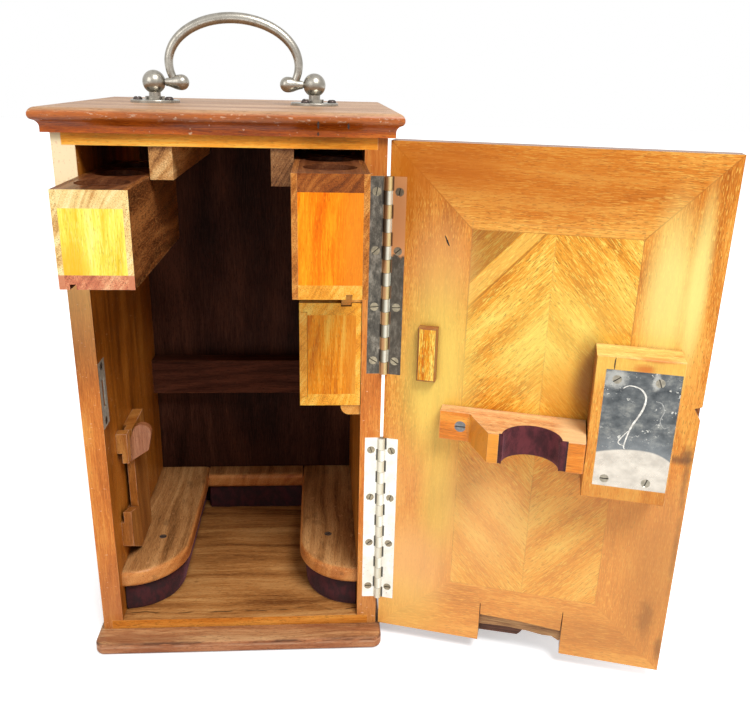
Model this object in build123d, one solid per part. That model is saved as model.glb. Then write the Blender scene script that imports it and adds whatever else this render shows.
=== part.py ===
from build123d import *
import os
from math import cos, sin, radians

# A wooden case for an upright microscope, standing open. Millimetres.
# X runs to the right, Y into the case and Z up. The origin is the middle of the case's footprint,
# on the underside of the plinth.

# ---------------------------------------------------------------- carcass
CASE_W = 200.0  # outside width of the carcass
CASE_D = 182.0  # outside depth of the carcass
CASE_H = 353.9  # height of the carcass, between plinth and top board
SIDE_T = 13.9  # side walls
TONGUE = 6.0  # outer tongue that the side walls keep beside the rabbets
BOARD_T = 7.3  # carcass top and floor boards
BACK_T = 8.6  # back panel

PLINTH_T = 10.2
PLINTH_SIDE = 3.6  # how far the plinth stands out at the sides and the back
PLINTH_FRONT = 16.7  # and at the front, under the closed door
PLINTH_EDGE_R = 2.6
PLINTH_CORNER_R = 7.0

TOP_T = 14.3  # moulded top board
TOP_SIDE = 9.4  # its overhang at the sides
TOP_FRONT = 8.4
TOP_BACK = 9.0
FASCIA_H = 3.0  # flat lower member of the moulding
COVE_R = 4.4  # hollow above it
NOSE_UNDER_R = 3.0
NOSE_TOP_R = 4.1
MOULD_TURN = 70.0  # degrees from upright, where the hollow meets the nose

# ---------------------------------------------------------------- door and hinges
DOOR_OVER = 0.9  # how far the shut door passes the left side wall
DOOR_T = 14.0
VENEER_T = 1.0  # facing on the inner side
DOOR_ANGLE = 162.86  # how far the door stands open
DOOR_FLOOR_GAP = 0.6  # between the plinth and the door
DOOR_HEAD_GAP = 1.3  # between the door and the top board
CLOSED_GAP = 0.8  # between the shut door and the carcass
AXIS_OUT = 1.0  # hinge axis, outside the side wall
EDGE_GAP = 0.9  # between the hinge axis and the door's edge

BORDER_HINGE = 52.6  # facing's border, measured from the door's edges
BORDER_LOCK = 47.4
BORDER_END = 46.0

HINGE_L = 130.0
HINGE_LOW_Z = 34.0
HINGE_TOP_IN = 22.8  # from the carcass's upper edge to the upper hinge
HINGE_LEAF_W = 11.4  # from the hinge axis to the leaf's edge
HINGE_LEAF_T = 1.0
KNUCKLES = 15
KNUCKLE_R = 2.5
KNUCKLE_GAP = 0.15  # between one knuckle and the next
KNUCKLE_CLEAR = 0.35  # round a knuckle
PIN_R = 1.2
RUNNING_FIT = 0.05
HINGE_SCREWS = 4
HINGE_SCREW_IN = 7.1  # from the hinge axis
HINGE_SCREW_END = 9.4  # from the leaf's end
HINGE_SCREW_L = 10.0

NOTCH_SHIFT = 4.1  # notch in the door's foot, for the toe of the stand: from the case's middle
NOTCH_W = 58.4
NOTCH_SPLINTER_H = 4.0  # height of the notch under the splinter at its hinge end
NOTCH_H = 11.4  # and at its other end
SPLINTER_L = 30.0
SPLINTER_DEEP = 8.0  # from the facing to the splinter
SPLINTER_H = 12.0  # from the door's foot to the broken layer over the splinter
BREAK_H = 21.6  # height of the broken facing
BREAK_DROP = 2.4  # how far its upper edge falls to the lock's side
BREAK_DEEP = 4.0
KERF_HINGE_H = 31.4
KERF_LOCK_H = 35.1
KERF_W = 1.5  # at the foot
KERF_TIP_W = 0.4
CHIP_Z = 206.5  # chip in the free edge
CHIP_H = 9.0
CHIP_W = 4.4
CHIP_RISE = 3.0  # from the chip's middle to its deepest point
CHIP_DEEP = 6.0

# ---------------------------------------------------------------- lock
BLOCK_W = 50.6
BLOCK_WALL_GAP = 2.1  # between the block of the shut door and the left side wall
BLOCK_LOW_Z = 152.2
BLOCK_H = 94.2
BLOCK_DEEP = 24.0
BLOCK_EDGE = 0.5

COVER_W = 43.6
COVER_H = 77.0
COVER_T = 1.2
COVER_EDGE = 0.8  # wood left beside the cover at the bolt's side
COVER_LOW = 9.3  # wood below the cover
COVER_SCREW_NEAR = 6.8  # from the cover's hinge side
COVER_SCREW_FAR = 12.1  # from its bolt side
COVER_SCREW_LOW = 5.0
COVER_SCREW_HIGH = 6.0

LOCK_CASE_W = 36.4
LOCK_CASE_H = 68.0
LOCK_CASE_D = 18.6
LOCK_SHEET = 1.4

BOLT_H = 19.4
BOLT_T = 5.0
BOLT_OFF = 7.4  # from the door's inner face to the bolt
BOLT_OUT = 1.2  # how far the drawn bolt stands out of the block
BOLT_LOW = 32.3  # above the block's underside
BOLT_HEAD_L = 13.2
BOLT_TAIL_L = 21.0
BOLT_TAIL_H = 11.4
BOLT_THROW = 6.0
BOLT_BACK = 1.2
BOLT_FIT = 0.25
POST_R = 1.8
POST_IN = 20.0  # from the block's end to the bolt's guide post

LEVER_PIVOT_IN = 29.0
LEVER_PIVOT_UP = 62.8
LEVER_PIVOT_R = 2.0
LEVER_EYE_R = 4.4
LEVER_ARM_L = 20.0
LEVER_ARM_H = 6.2
LEVER_DROP = 9.4
LEVER_T = 1.5
LEVER_GAP = 0.6
SPRING_T = 0.6
SPRING_H = 4.0
SPRING_DROP = 9.0
SPRING_L = 22.0

KEY_IN = 15.0
KEY_UP = 23.8
KEY_PIN_R = 1.3
KEY_PIN_L = 9.0
KEY_HOLE_R = 2.6
KEY_SLOT_W = 2.4
KEY_SLOT_H = 8.0
ESCUTCHEON_W = 13.0
ESCUTCHEON_H = 24.0
ESCUTCHEON_T = 1.0

STRIKE_W = 15.0
STRIKE_H = 47.0
STRIKE_T = 1.0
STRIKE_IN = 1.0  # from the carcass front to the plate
STRIKE_DEEP = 7.6  # bolt mortise behind the plate
STRIKE_SCREW_IN = 4.0

# ---------------------------------------------------------------- fittings on the door
STOP_START = 23.2
STOP_W = 12.6
STOP_LOW_Z = 210.8
STOP_H = 36.8
STOP_DEEP = 6.0
STOP_EDGE = 0.8

BAR_LOW_Z = 173.9
BAR_H = 20.0
BAR_DEEP = 37.0
BAR_TONGUE_T = 10.5
BAR_TONGUE_L = 17.0
BAR_RAMP_TURN = 4.5  # length of the hollow where the ramp starts
BAR_RAMP_L = 17.0
BAR_END_GAP = 0.8  # between the bar and the lock block
BAR_END_R = 1.6
CUP_SHIFT = 0.4  # from the case's middle to the cup's
BAR_REACH = 60.4  # from the cup's middle to the bar's start
CUP_R = 18.4
CUP_LINER_T = 1.4
LIP_HINGE = 19.8  # how far the velvet runs from the cup's middle, over the bar's face
LIP_LOCK = 21.9
BAR_SCREW_IN = 13.6
BAR_SCREW_R = 3.8
BAR_SCREW_L = 20.0

# ---------------------------------------------------------------- inside the case
RUNNER_W = 14.0  # hanging runners beside the upper boxes
RUNNER_LEFT_H = 20.0
RUNNER_RIGHT_H = 22.9
RUNNER_IN = 2.0

SLIDE_GAP = 0.3  # between a box and what it slides on or beside
RAIL_W = 13.4
RAIL_IN = 2.0
LEFT_RAIL_H = 8.0
RIGHT_RAIL_H = 20.1
LOWER_RAIL_H = 7.0
RAIL_NOSE_R = 6.0
GUIDE_W = 3.0  # tongue that runs in the groove under an upper box
GUIDE_H = 2.4
GROOVE_CLEAR = 0.3
LEFT_GUIDE_IN = 6.4  # from the side wall to the tongue
RIGHT_GUIDE_IN = 9.6
KEEL_W = 6.4  # tongue over the lower box
KEEL_H = 2.0
KEEL_IN = 7.1

FOOT_T = 13.2
PAD_H = 22.2  # velvet between the floor and the foot boards
FOOT_R = 43.5  # the foot boards' width, and the radius of their round front
FOOT_IN = 7.5
FOOT_EDGE_R = 4.0
PAD_SET = 4.6  # how far the velvet stands back under a foot board
REAR_FOOT_D = 17.0
REAR_PAD_SET = 3.0
FOOT_SCREW_WALL = 21.1  # from the side wall
FOOT_SCREW_IN = 56.0
FOOT_SCREW_R = 2.9
FOOT_SCREW_L = 24.0

CROSS_RAIL_Z = 133.0
CROSS_RAIL_H = 30.0
CROSS_RAIL_T = 15.0

RACK_T = 7.8
RACK_TOP_Z = 152.0
RACK_SET = 42.3  # from the carcass front to the rack's upper edge
RACK_END = 80.0
HOOK_IN = 20.0  # and to the hook below
HOOK_TOP_Z = 96.5
HOOK_DIP = 8.5
HOOK_LOW_Z = 68.0
HOOK_SLOT_W = 2.2  # slot beside the wall, behind the rack's front edge
HOOK_SLOT_D = 8.0
HOOK_SLOT_DROP = 9.0
KEEPER_IN = 26.4  # upper keeper block
KEEPER_L = 7.5
KEEPER_LOW_Z = 132.6
KEEPER_H = 22.8
KEEPER_SLOT_W = 3.4
KEEPER_SLOT_H = 7.6

BUTTON_PIVOT_IN = 5.5  # from the left side wall
BUTTON_PIVOT_Z = 132.5
BUTTON_T = 5.0
BUTTON_GAP = 0.3
BUTTON_NECK_R = 3.6
BUTTON_LOBE_R = 6.4
BUTTON_REACH = 21.9
BUTTON_LEAN = 28.9  # degrees from upright
BUTTON_HEEL_R = 2.0
BUTTON_HEEL_X = 12.6  # from the pivot to the heel
BUTTON_HEEL_Z = 6.6
PEG_R = 1.5
PEG_HEAD_R = 2.4
PEG_HEAD_L = 2.4
PEG_DOME_R = 2.1
PEG_DEEP = 10.0

# ---------------------------------------------------------------- boxes
BOX_SIDE_T = 3.4
BOX_TOP_T = 10.0
BOX_BOTTOM_T = 8.2
BOX_END_T = 5.0
BOX_HOME_IN = 7.0  # from the carcass front to an upper box pushed home
BOX_BACK_GAP = 18.4  # and from that box to the back panel
GROOVE_H = 3.0

LEFT_BOX_W = 41.5
LEFT_BOX_H = 55.2
LEFT_BOX_HEAD = 18.1  # between the box and the carcass top
LEFT_BOX_OUT = 57.0  # how far it is drawn out of the case

RIGHT_BOX_W = 42.6
RIGHT_BOX_H = 69.5
RIGHT_BOX_HEAD = 6.8
RIGHT_BOX_OUT = 65.0

LOWER_BOX_W = 40.6
LOWER_BOX_H = 71.8
LOWER_BOX_IN = 1.0
LID_T = 5.0
LID_REBATE = 2.0
LID_FIT = 0.2

HOLE_R = 12.4  # sockets in the tops of the upper boxes
HOLE_RIM_R = 15.6
HOLE_RIM_H = 3.0
HOLE_FIRST = 30.0  # from either end of the box to the outer holes
HOLES = 3

# ---------------------------------------------------------------- carrying handle
POST_X = 55.0  # from the middle to each post
BALL_R = 7.8
BALL_Z = 13.5  # above the top board
FLANGE_R = 16.6
FLANGE_T = 2.0
FLANGE_EDGE_R = 0.7
COLLAR_R = 6.6
COLLAR_H = 2.1
NECK_R = 4.0
POST_SCREWS = 3  # in each flange
POST_SCREW_IN = 4.4  # from the flange's edge
LEFT_POST_TURN = -30.0
POST_SCREW_R = 3.1
POST_SCREW_H = 2.0
POST_DOME_R = 1.8
POST_SCREW_L = 11.0
PIVOT_R = 2.0
PIVOT_DEEP = 11.5
PIVOT_FIT = 0.06
CLUB_R = 5.2
CLUB_NECK_R = 2.6
CLUB_L = 10.6
CLUB_GAP = 0.3
ARCH_A = 44.2  # half width of the bail's arch, on its centre line
ARCH_B = 29.6
ARCH_UP = 12.4  # from the pivot to the arch's middle
ARCH_DIP = 23.0  # degrees that each leg runs on below the middle
ARCH_END_R = 2.2
ARCH_MID_R = 3.6
ARCH_STEPS = 18

SCREW_R = 2.75  # small countersunk heads
SCREW_HEAD_H = 1.7
SCREW_SHANK_R = 1.2
SCREW_SLOT_W = 0.7
SCREW_SLOT_H = 0.5
SCREW_TURN = 37.0  # degrees from one screw's slot to the next

# ---------------------------------------------------------------- places worked out from the sizes
FRONT = -CASE_D / 2
BACK = CASE_D / 2
LOW = PLINTH_T
HIGH = PLINTH_T + CASE_H
ROOF = HIGH + TOP_T
WALL = CASE_W / 2 - SIDE_T  # inner face of the side walls
FLOOR = LOW + BOARD_T
CEILING = HIGH - BOARD_T
REAR = BACK - BACK_T
FASCIA_SET = (COVE_R + NOSE_UNDER_R) * (1 - cos(radians(MOULD_TURN)))
AXIS_X = CASE_W / 2 + AXIS_OUT
AXIS_Y = FRONT - CLOSED_GAP / 2
DOOR_LOW = LOW + DOOR_FLOOR_GAP
DOOR_HIGH = HIGH - DOOR_HEAD_GAP
DOOR_END = AXIS_X + CASE_W / 2 + DOOR_OVER
PANEL_START = EDGE_GAP + BORDER_HINGE
PANEL_END = DOOR_END - BORDER_LOCK
PANEL_LOW = DOOR_LOW + BORDER_END
PANEL_HIGH = DOOR_HIGH - BORDER_END
BLOCK_END = AXIS_X + WALL - BLOCK_WALL_GAP
BLOCK_START = BLOCK_END - BLOCK_W
BLOCK_HIGH_Z = BLOCK_LOW_Z + BLOCK_H
COVER_END = BLOCK_END - COVER_EDGE
COVER_Z = BLOCK_LOW_Z + COVER_LOW
LOCK_CASE_END = BLOCK_END - LOCK_SHEET
LOCK_CASE_Z = BLOCK_LOW_Z + (BLOCK_H - LOCK_CASE_H) / 2
LOCK_CASE_TOP = BLOCK_DEEP - COVER_T
BOLT_Z = BLOCK_LOW_Z + BOLT_LOW
BAR_END = BLOCK_START - BAR_END_GAP
CUP_MIDDLE = AXIS_X + CUP_SHIFT
BAR_START = CUP_MIDDLE - BAR_REACH
NOTCH_START = AXIS_X + NOTCH_SHIFT - NOTCH_W / 2
NOTCH_END = NOTCH_START + NOTCH_W
FOOT_LOW_Z = FLOOR + PAD_H
FOOT_TOP_Z = FOOT_LOW_Z + FOOT_T
BOX_L = REAR - FRONT - BOX_HOME_IN - BOX_BACK_GAP
HOLE_STEP = (BOX_L - 2 * HOLE_FIRST) / (HOLES - 1)
LEFT_BOX_Z = CEILING - LEFT_BOX_HEAD - LEFT_BOX_H
RIGHT_BOX_Z = CEILING - RIGHT_BOX_HEAD - RIGHT_BOX_H
LOWER_BOX_Z = RIGHT_BOX_Z - 2 * SLIDE_GAP - RIGHT_RAIL_H - LOWER_BOX_H
BUTTON_X = BUTTON_PIVOT_IN - WALL
BUTTON_REAR = FRONT + RACK_SET - BUTTON_GAP
BUTTON_FRONT = BUTTON_REAR - BUTTON_T
PIVOT_Z = ROOF + BALL_Z
CLUB_START = POST_X - BALL_R - CLUB_GAP
HINGE_HIGH_Z = HIGH - HINGE_TOP_IN - HINGE_L
HINGE_LOWS = (HINGE_LOW_Z, HINGE_HIGH_Z)

# On the door, X runs from the hinge axis to the free edge, and Y is zero at the axis. This place
# turns those pieces to where the open door stands.
DOOR_PLACE = Pos(AXIS_X, AXIS_Y, 0) * Rot(0, 0, DOOR_ANGLE - 180)
DOOR_FACE = CLOSED_GAP / 2


# ---------------------------------------------------------------- shapes used throughout
def board(x0, x1, y0, y1, z0, z1):
    """A square-edged board between two corners."""
    return Pos(x0, y0, z0) * Box(x1 - x0, y1 - y0, z1 - z0, align=(Align.MIN,) * 3)


def door_board(start, end, off0, off1, z0, z1):
    """A board on the door, by its distances from the hinge axis and off the inner face."""
    return board(start, end, DOOR_FACE - off1, DOOR_FACE - off0, z0, z1)


def rod(radius, length, place):
    """A round rod from a place along that place's Z."""
    return place * Cylinder(radius, length, align=(Align.CENTER, Align.CENTER, Align.MIN))


def outline(points):
    """A flat face with straight sides."""
    return make_face(Polyline(*points, close=True))


def along_x(face, x0, x1):
    """A face drawn in Y and Z, made solid from x0 to x1."""
    return extrude(Plane.YZ.offset(x0) * face, x1 - x0)


def along_y(face, y0, y1):
    """A face drawn in X and Z, made solid from y0 to y1."""
    return extrude(Plane.XZ.offset(-y1) * face, y1 - y0)


def along_z(face, z0, z1):
    """A face drawn in X and Y, made solid from z0 to z1."""
    return extrude(Plane.XY.offset(z0) * face, z1 - z0)


def screw(place, length, head_r=SCREW_R, slotted=True):
    """A countersunk wood screw. The place is the middle of its head, with Z pointing out."""
    turned = outline(
        [
            (0, 0),
            (head_r, 0),
            (SCREW_SHANK_R, -SCREW_HEAD_H),
            (SCREW_SHANK_R, -length + SCREW_SHANK_R),
            (0, -length),
        ]
    )
    body = revolve(Plane.XZ * turned, Axis.Z)
    if slotted:
        body -= Pos(0, 0, -SCREW_SLOT_H / 2) * Box(3 * head_r, SCREW_SLOT_W, SCREW_SLOT_H)
    return place * body


def screws(places, length, head_r=SCREW_R, slotted=True):
    """A group of screws, each turned a little further than the last."""
    group = []
    for i, place in enumerate(places):
        group.append(screw(place * Rot(0, 0, SCREW_TURN * i), length, head_r, slotted))
    return group


def cut(body, tools):
    """A body with each tool taken out of it."""
    for tool in tools:
        body -= tool
    return body


# ---------------------------------------------------------------- screw places
def hinge_screw_places(low_z, side):
    """Screws of one leaf. Side is 1 for the door's leaf and -1 for the carcass's."""
    step = (HINGE_L - 2 * HINGE_SCREW_END) / (HINGE_SCREWS - 1)
    return [
        Pos(side * HINGE_SCREW_IN, DOOR_FACE, low_z + HINGE_SCREW_END + i * step) * Rot(90, 0, 0)
        for i in range(HINGE_SCREWS)
    ]


def case_hinge_screw_places():
    return [Pos(AXIS_X, AXIS_Y, 0) * p for z in HINGE_LOWS for p in hinge_screw_places(z, -1)]


def door_hinge_screw_places():
    return [p for z in HINGE_LOWS for p in hinge_screw_places(z, 1)]


def cover_screw_places():
    """The four screws of the lock's cover."""
    y = DOOR_FACE - BLOCK_DEEP
    xs = (COVER_END - COVER_W + COVER_SCREW_NEAR, COVER_END - COVER_SCREW_FAR)
    zs = (COVER_Z + COVER_SCREW_LOW, COVER_Z + COVER_H - COVER_SCREW_HIGH)
    return [Pos(x, y, z) * Rot(90, 0, 0) for x in xs for z in zs]


def strike_screw_places():
    """The two screws of the strike plate, on the left wall's inner face."""
    y = FRONT + STRIKE_IN + STRIKE_W / 2
    middle = BOLT_Z + BOLT_H / 2
    up = STRIKE_H / 2 - STRIKE_SCREW_IN
    return [Pos(-WALL, y, middle + s * up) * Rot(0, 90, 0) for s in (-1, 1)]


def foot_screw_places():
    """One screw through each foot board."""
    x = WALL - FOOT_SCREW_WALL
    return [Pos(s * x, FRONT + FOOT_SCREW_IN, FOOT_TOP_Z) for s in (-1, 1)]


def post_screw_places():
    """The screws round each flange of the handle."""
    out = FLANGE_R - POST_SCREW_IN
    places = []
    for side, turn in ((-1, LEFT_POST_TURN), (1, 0)):
        middle = Pos(side * POST_X, 0, ROOF + FLANGE_T) * Rot(0, 0, turn)
        for i in range(POST_SCREWS):
            places.append(middle * Rot(0, 0, i * 360 / POST_SCREWS) * Pos(out, 0, 0))
    return places


# ---------------------------------------------------------------- carcass
def plinth():
    x = CASE_W / 2 + PLINTH_SIDE
    body = board(-x, x, FRONT - PLINTH_FRONT, BACK + PLINTH_SIDE, 0, PLINTH_T)
    body = fillet(body.edges().filter_by(Axis.Z), PLINTH_CORNER_R)
    rims = body.faces().sort_by(Axis.Z)
    return fillet(rims[0].edges() + rims[-1].edges(), PLINTH_EDGE_R)


def bare_side(side):
    """A side wall with its rabbets. Side is 1 for the right wall and -1 for the left."""
    outer = side * CASE_W / 2
    inner = side * WALL
    rabbet = side * (CASE_W / 2 - TONGUE)
    x0, x1 = sorted((inner, outer))
    r0, r1 = sorted((inner, rabbet))
    body = board(x0, x1, FRONT, BACK, LOW, HIGH)
    body -= board(r0, r1, FRONT, BACK, LOW, FLOOR)
    body -= board(r0, r1, FRONT, BACK, CEILING, HIGH)
    return body - board(r0, r1, REAR, BACK, LOW, HIGH)


def left_side():
    body = bare_side(-1)
    plate = strike_blank()
    return cut(body - plate - bolt_mortise(), strike_screws(slotted=False))


def right_side():
    body = bare_side(1)
    for low_z in HINGE_LOWS:
        body -= board(
            AXIS_X - HINGE_LEAF_W, AXIS_X, FRONT, FRONT + HINGE_LEAF_T, low_z, low_z + HINGE_L
        )
        body -= rod(KNUCKLE_R + KNUCKLE_CLEAR, HINGE_L, Pos(AXIS_X, AXIS_Y, low_z))
    return cut(body, screws(case_hinge_screw_places(), HINGE_SCREW_L, slotted=False))


def carcass_board(z0):
    """The top or floor board, let into the side walls."""
    x = CASE_W / 2 - TONGUE
    return board(-x, x, FRONT, REAR, z0, z0 + BOARD_T)


def back_panel():
    x = CASE_W / 2 - TONGUE
    return board(-x, x, REAR, BACK, LOW, HIGH)


def moulded_section(low, high):
    """The top board cut across, between its noses: a flat foot, a hollow and a round nose."""
    half = (high - low) / 2
    foot = half - FASCIA_SET
    turn = radians(MOULD_TURN)
    fascia_z = HIGH + FASCIA_H
    meet = (foot + COVE_R * (1 - cos(turn)), fascia_z + COVE_R * sin(turn))
    nose_z = meet[1] + NOSE_UNDER_R * sin(turn)
    edges = [
        Line((0, HIGH), (foot, HIGH)),
        Line((foot, HIGH), (foot, fascia_z)),
        TangentArc((foot, fascia_z), meet, tangent=(0, 1)),
        TangentArc(meet, (half, nose_z), tangent=(sin(turn), cos(turn))),
        Line((half, nose_z), (half, ROOF - NOSE_TOP_R)),
        TangentArc((half, ROOF - NOSE_TOP_R), (half - NOSE_TOP_R, ROOF), tangent=(0, 1)),
        Line((half - NOSE_TOP_R, ROOF), (0, ROOF)),
    ]
    edges += [mirror(edge, about=Plane.YZ) for edge in edges]
    return Pos((low + high) / 2, 0) * make_face(edges)


def top_board():
    """The top board, with its moulding mitred round all four sides."""
    x = CASE_W / 2 + TOP_SIDE
    y0 = FRONT - TOP_FRONT
    y1 = BACK + TOP_BACK
    body = along_y(moulded_section(-x, x), y0, y1) & along_x(moulded_section(y0, y1), -x, x)
    return cut(body, post_screws(slotted=False))


# ---------------------------------------------------------------- inside the case
def hanging_runner(side, height):
    """A runner under the carcass top, beside an upper box."""
    near = WALL - box_width(side) - 2 * SLIDE_GAP
    x0, x1 = sorted((side * near, side * (near - RUNNER_W)))
    return board(x0, x1, FRONT + RUNNER_IN, REAR, CEILING - height, CEILING)


def box_width(side):
    return RIGHT_BOX_W if side > 0 else LEFT_BOX_W


def side_rail(side, z0, z1, width=RAIL_W):
    """A ledge on a side wall."""
    x0, x1 = sorted((side * WALL, side * (WALL - width)))
    return board(x0, x1, FRONT + RAIL_IN, REAR, z0, z1)


def side_tongue(side, inset, width, z0, z1):
    """A tongue on a ledge, by its distance from the side wall."""
    x0, x1 = sorted((side * (WALL - inset), side * (WALL - inset - width)))
    return board(x0, x1, FRONT + RAIL_IN, REAR, z0, z1)


def left_box_rail():
    top = LEFT_BOX_Z - SLIDE_GAP
    rail = side_rail(-1, top - LEFT_RAIL_H, top)
    return rail + side_tongue(-1, LEFT_GUIDE_IN, GUIDE_W, top, top + GUIDE_H)


def right_box_rail():
    top = RIGHT_BOX_Z - SLIDE_GAP
    low = top - RIGHT_RAIL_H
    rail = side_rail(1, low, top)
    rail += side_tongue(1, RIGHT_GUIDE_IN, GUIDE_W, top, top + GUIDE_H)
    return rail + side_tongue(1, KEEL_IN, KEEL_W, low - KEEL_H, low)


def lower_box_rail():
    top = LOWER_BOX_Z - SLIDE_GAP
    rail = side_rail(1, top - LOWER_RAIL_H, top)
    corner = rail.edges().filter_by(Axis.Y).group_by(Axis.Z)[0].sort_by(Axis.X)[0]
    return fillet(corner, RAIL_NOSE_R)


def foot_outline(side, shrink=0.0):
    """A quarter round front on a straight board, drawn in X and Y."""
    r = FOOT_R - shrink
    y = FRONT + FOOT_IN + FOOT_R
    round_front = along_z(Pos(side * WALL, y) * Circle(r), 0, 1)
    x0, x1 = sorted((side * WALL, side * (WALL - r)))
    front_half = round_front & board(x0, x1, FRONT, y, 0, 1)
    return front_half + board(x0, x1, y, REAR, 0, 1)


def foot_board(side):
    """A board over one foot of the stand, rounded at its free edges."""
    base = foot_outline(side).faces().sort_by(Axis.Z)[0]
    body = extrude(Pos(0, 0, FOOT_LOW_Z) * base, FOOT_T, dir=(0, 0, 1))
    free = [e for e in body.edges() if runs_free(e, side)]
    body = fillet(free, FOOT_EDGE_R)
    return cut(body, foot_screws(slotted=False))


def runs_free(edge, side):
    """Whether an edge of a foot board lies on its round front or its inner side."""
    mid = edge @ 0.5
    level = abs((edge @ 0).Z - (edge @ 1).Z) < 0.01
    on_wall = abs(mid.X - side * WALL) < 0.01
    return level and not on_wall and mid.Y < REAR - 0.01


def foot_pads():
    """The velvet blocks that fill the space under the foot boards."""
    pads = []
    for side in (-1, 1):
        base = foot_outline(side, PAD_SET).faces().sort_by(Axis.Z)[0]
        pad = extrude(Pos(0, 0, FLOOR) * base, FOOT_LOW_Z - FLOOR, dir=(0, 0, 1))
        pads.append(cut(pad, foot_screws(slotted=False)))
    x = WALL - FOOT_R
    y = REAR - REAR_FOOT_D + REAR_PAD_SET
    pads.append(board(-x, x, y, REAR, FLOOR, FOOT_LOW_Z))
    return pads


def rear_foot_board():
    x = WALL - FOOT_R
    body = board(-x, x, REAR - REAR_FOOT_D, REAR, FOOT_LOW_Z, FOOT_TOP_Z)
    front = body.faces().sort_by(Axis.Y)[0].edges().filter_by(Axis.X)
    return fillet(front, FOOT_EDGE_R)


def cross_rail():
    """The rail across the back that the instrument's arm stands against."""
    y = REAR - CROSS_RAIL_T
    return board(-WALL, WALL, y, REAR, CROSS_RAIL_Z, CROSS_RAIL_Z + CROSS_RAIL_H)


def rack():
    """The hooked board on the left wall, and the keeper block above its hook."""
    hook = FRONT + HOOK_IN
    edge = FRONT + RACK_SET
    end = FRONT + RACK_END
    shape = outline(
        [
            (hook, HOOK_LOW_Z),
            (hook, HOOK_TOP_Z),
            (edge, HOOK_TOP_Z - HOOK_DIP),
            (edge, RACK_TOP_Z),
            (end, RACK_TOP_Z),
            (end, FOOT_TOP_Z),
            (edge, FOOT_TOP_Z),
        ]
    )
    hooked = along_x(shape, -WALL, -WALL + RACK_T)
    hooked -= rod(PEG_R, PEG_DEEP, peg_place(edge))
    hooked -= board(
        -WALL,
        -WALL + HOOK_SLOT_W,
        hook,
        edge + HOOK_SLOT_D,
        HOOK_TOP_Z - HOOK_SLOT_DROP,
        RACK_TOP_Z,
    )
    y = FRONT + KEEPER_IN
    keeper = board(
        -WALL, -WALL + RACK_T, y, y + KEEPER_L, KEEPER_LOW_Z, KEEPER_LOW_Z + KEEPER_H
    )
    keeper -= board(
        -WALL, -WALL + KEEPER_SLOT_W, y, y + KEEPER_L, KEEPER_LOW_Z, KEEPER_LOW_Z + KEEPER_SLOT_H
    )
    return [hooked, keeper]


def peg_place(y):
    """The turn button's axis at a depth, with Z pointing into the case."""
    return Pos(BUTTON_X, y, BUTTON_PIVOT_Z) * Rot(-90, 0, 0)


def turn_button():
    """A wooden turn button with a round lobe and a narrow heel."""
    lean = radians(BUTTON_LEAN)
    lobe = Pos(BUTTON_REACH * sin(lean), BUTTON_REACH * cos(lean)) * Circle(BUTTON_LOBE_R)
    heel = Pos(BUTTON_HEEL_X, BUTTON_HEEL_Z) * Circle(BUTTON_HEEL_R)
    rounds = lobe.edges() + heel.edges() + Circle(BUTTON_NECK_R).edges()
    shape = Pos(BUTTON_X, BUTTON_PIVOT_Z) * make_hull(rounds)
    body = along_y(shape, BUTTON_FRONT, BUTTON_REAR)
    return body - rod(PEG_R + RUNNING_FIT, BUTTON_T, peg_place(BUTTON_FRONT))


def button_peg():
    """The peg that carries the turn button, with a domed head."""
    shank = BUTTON_T + BUTTON_GAP + PEG_DEEP
    body = rod(PEG_R, shank + BUTTON_GAP, peg_place(BUTTON_FRONT - BUTTON_GAP))
    head = rod(PEG_HEAD_R, PEG_HEAD_L, peg_place(BUTTON_FRONT - BUTTON_GAP - PEG_HEAD_L))
    head = fillet(head.edges().sort_by(Axis.Y)[0], PEG_DOME_R)
    return body + head


# ---------------------------------------------------------------- strike
def strike_blank():
    y = FRONT + STRIKE_IN
    middle = BOLT_Z + BOLT_H / 2
    return board(
        -WALL - STRIKE_T, -WALL, y, y + STRIKE_W, middle - STRIKE_H / 2, middle + STRIKE_H / 2
    )


def bolt_mortise():
    """The space that the thrown bolt enters, in the strike plate and the wall behind it."""
    y = AXIS_Y - DOOR_FACE + BOLT_OFF
    f = 2 * BOLT_FIT
    return board(
        -WALL - STRIKE_DEEP, -WALL, y - f, y + BOLT_T + f, BOLT_Z - f, BOLT_Z + BOLT_H + f
    )


def strike_plate():
    return cut(strike_blank() - bolt_mortise(), strike_screws(slotted=False))


def strike_screws(slotted=True):
    return screws(strike_screw_places(), HINGE_SCREW_L, slotted=slotted)


def foot_screws(slotted=True):
    return screws(foot_screw_places(), FOOT_SCREW_L, FOOT_SCREW_R, slotted)


# ---------------------------------------------------------------- hinges
def hinge_leaf(side, low_z, mine):
    """One leaf with its knuckles, round an axis at X and Y zero. Mine is 0 or 1."""
    x0, x1 = sorted((0, side * HINGE_LEAF_W))
    leaf = board(x0, x1, DOOR_FACE, DOOR_FACE + HINGE_LEAF_T, low_z, low_z + HINGE_L)
    pitch = HINGE_L / KNUCKLES
    for i in range(KNUCKLES):
        z = low_z + i * pitch
        if i % 2 == mine:
            leaf += rod(KNUCKLE_R, pitch - KNUCKLE_GAP, Pos(0, 0, z + KNUCKLE_GAP / 2))
        else:
            leaf -= rod(KNUCKLE_R + KNUCKLE_CLEAR, pitch, Pos(0, 0, z))
    leaf -= rod(PIN_R + RUNNING_FIT, HINGE_L, Pos(0, 0, low_z))
    return cut(leaf, screws(hinge_screw_places(low_z, side), HINGE_SCREW_L, slotted=False))


def case_leaf(low_z):
    return Pos(AXIS_X, AXIS_Y, 0) * hinge_leaf(-1, low_z, 0)


def hinge_pins():
    return [rod(PIN_R, HINGE_L, Pos(AXIS_X, AXIS_Y, z)) for z in HINGE_LOWS]


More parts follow.
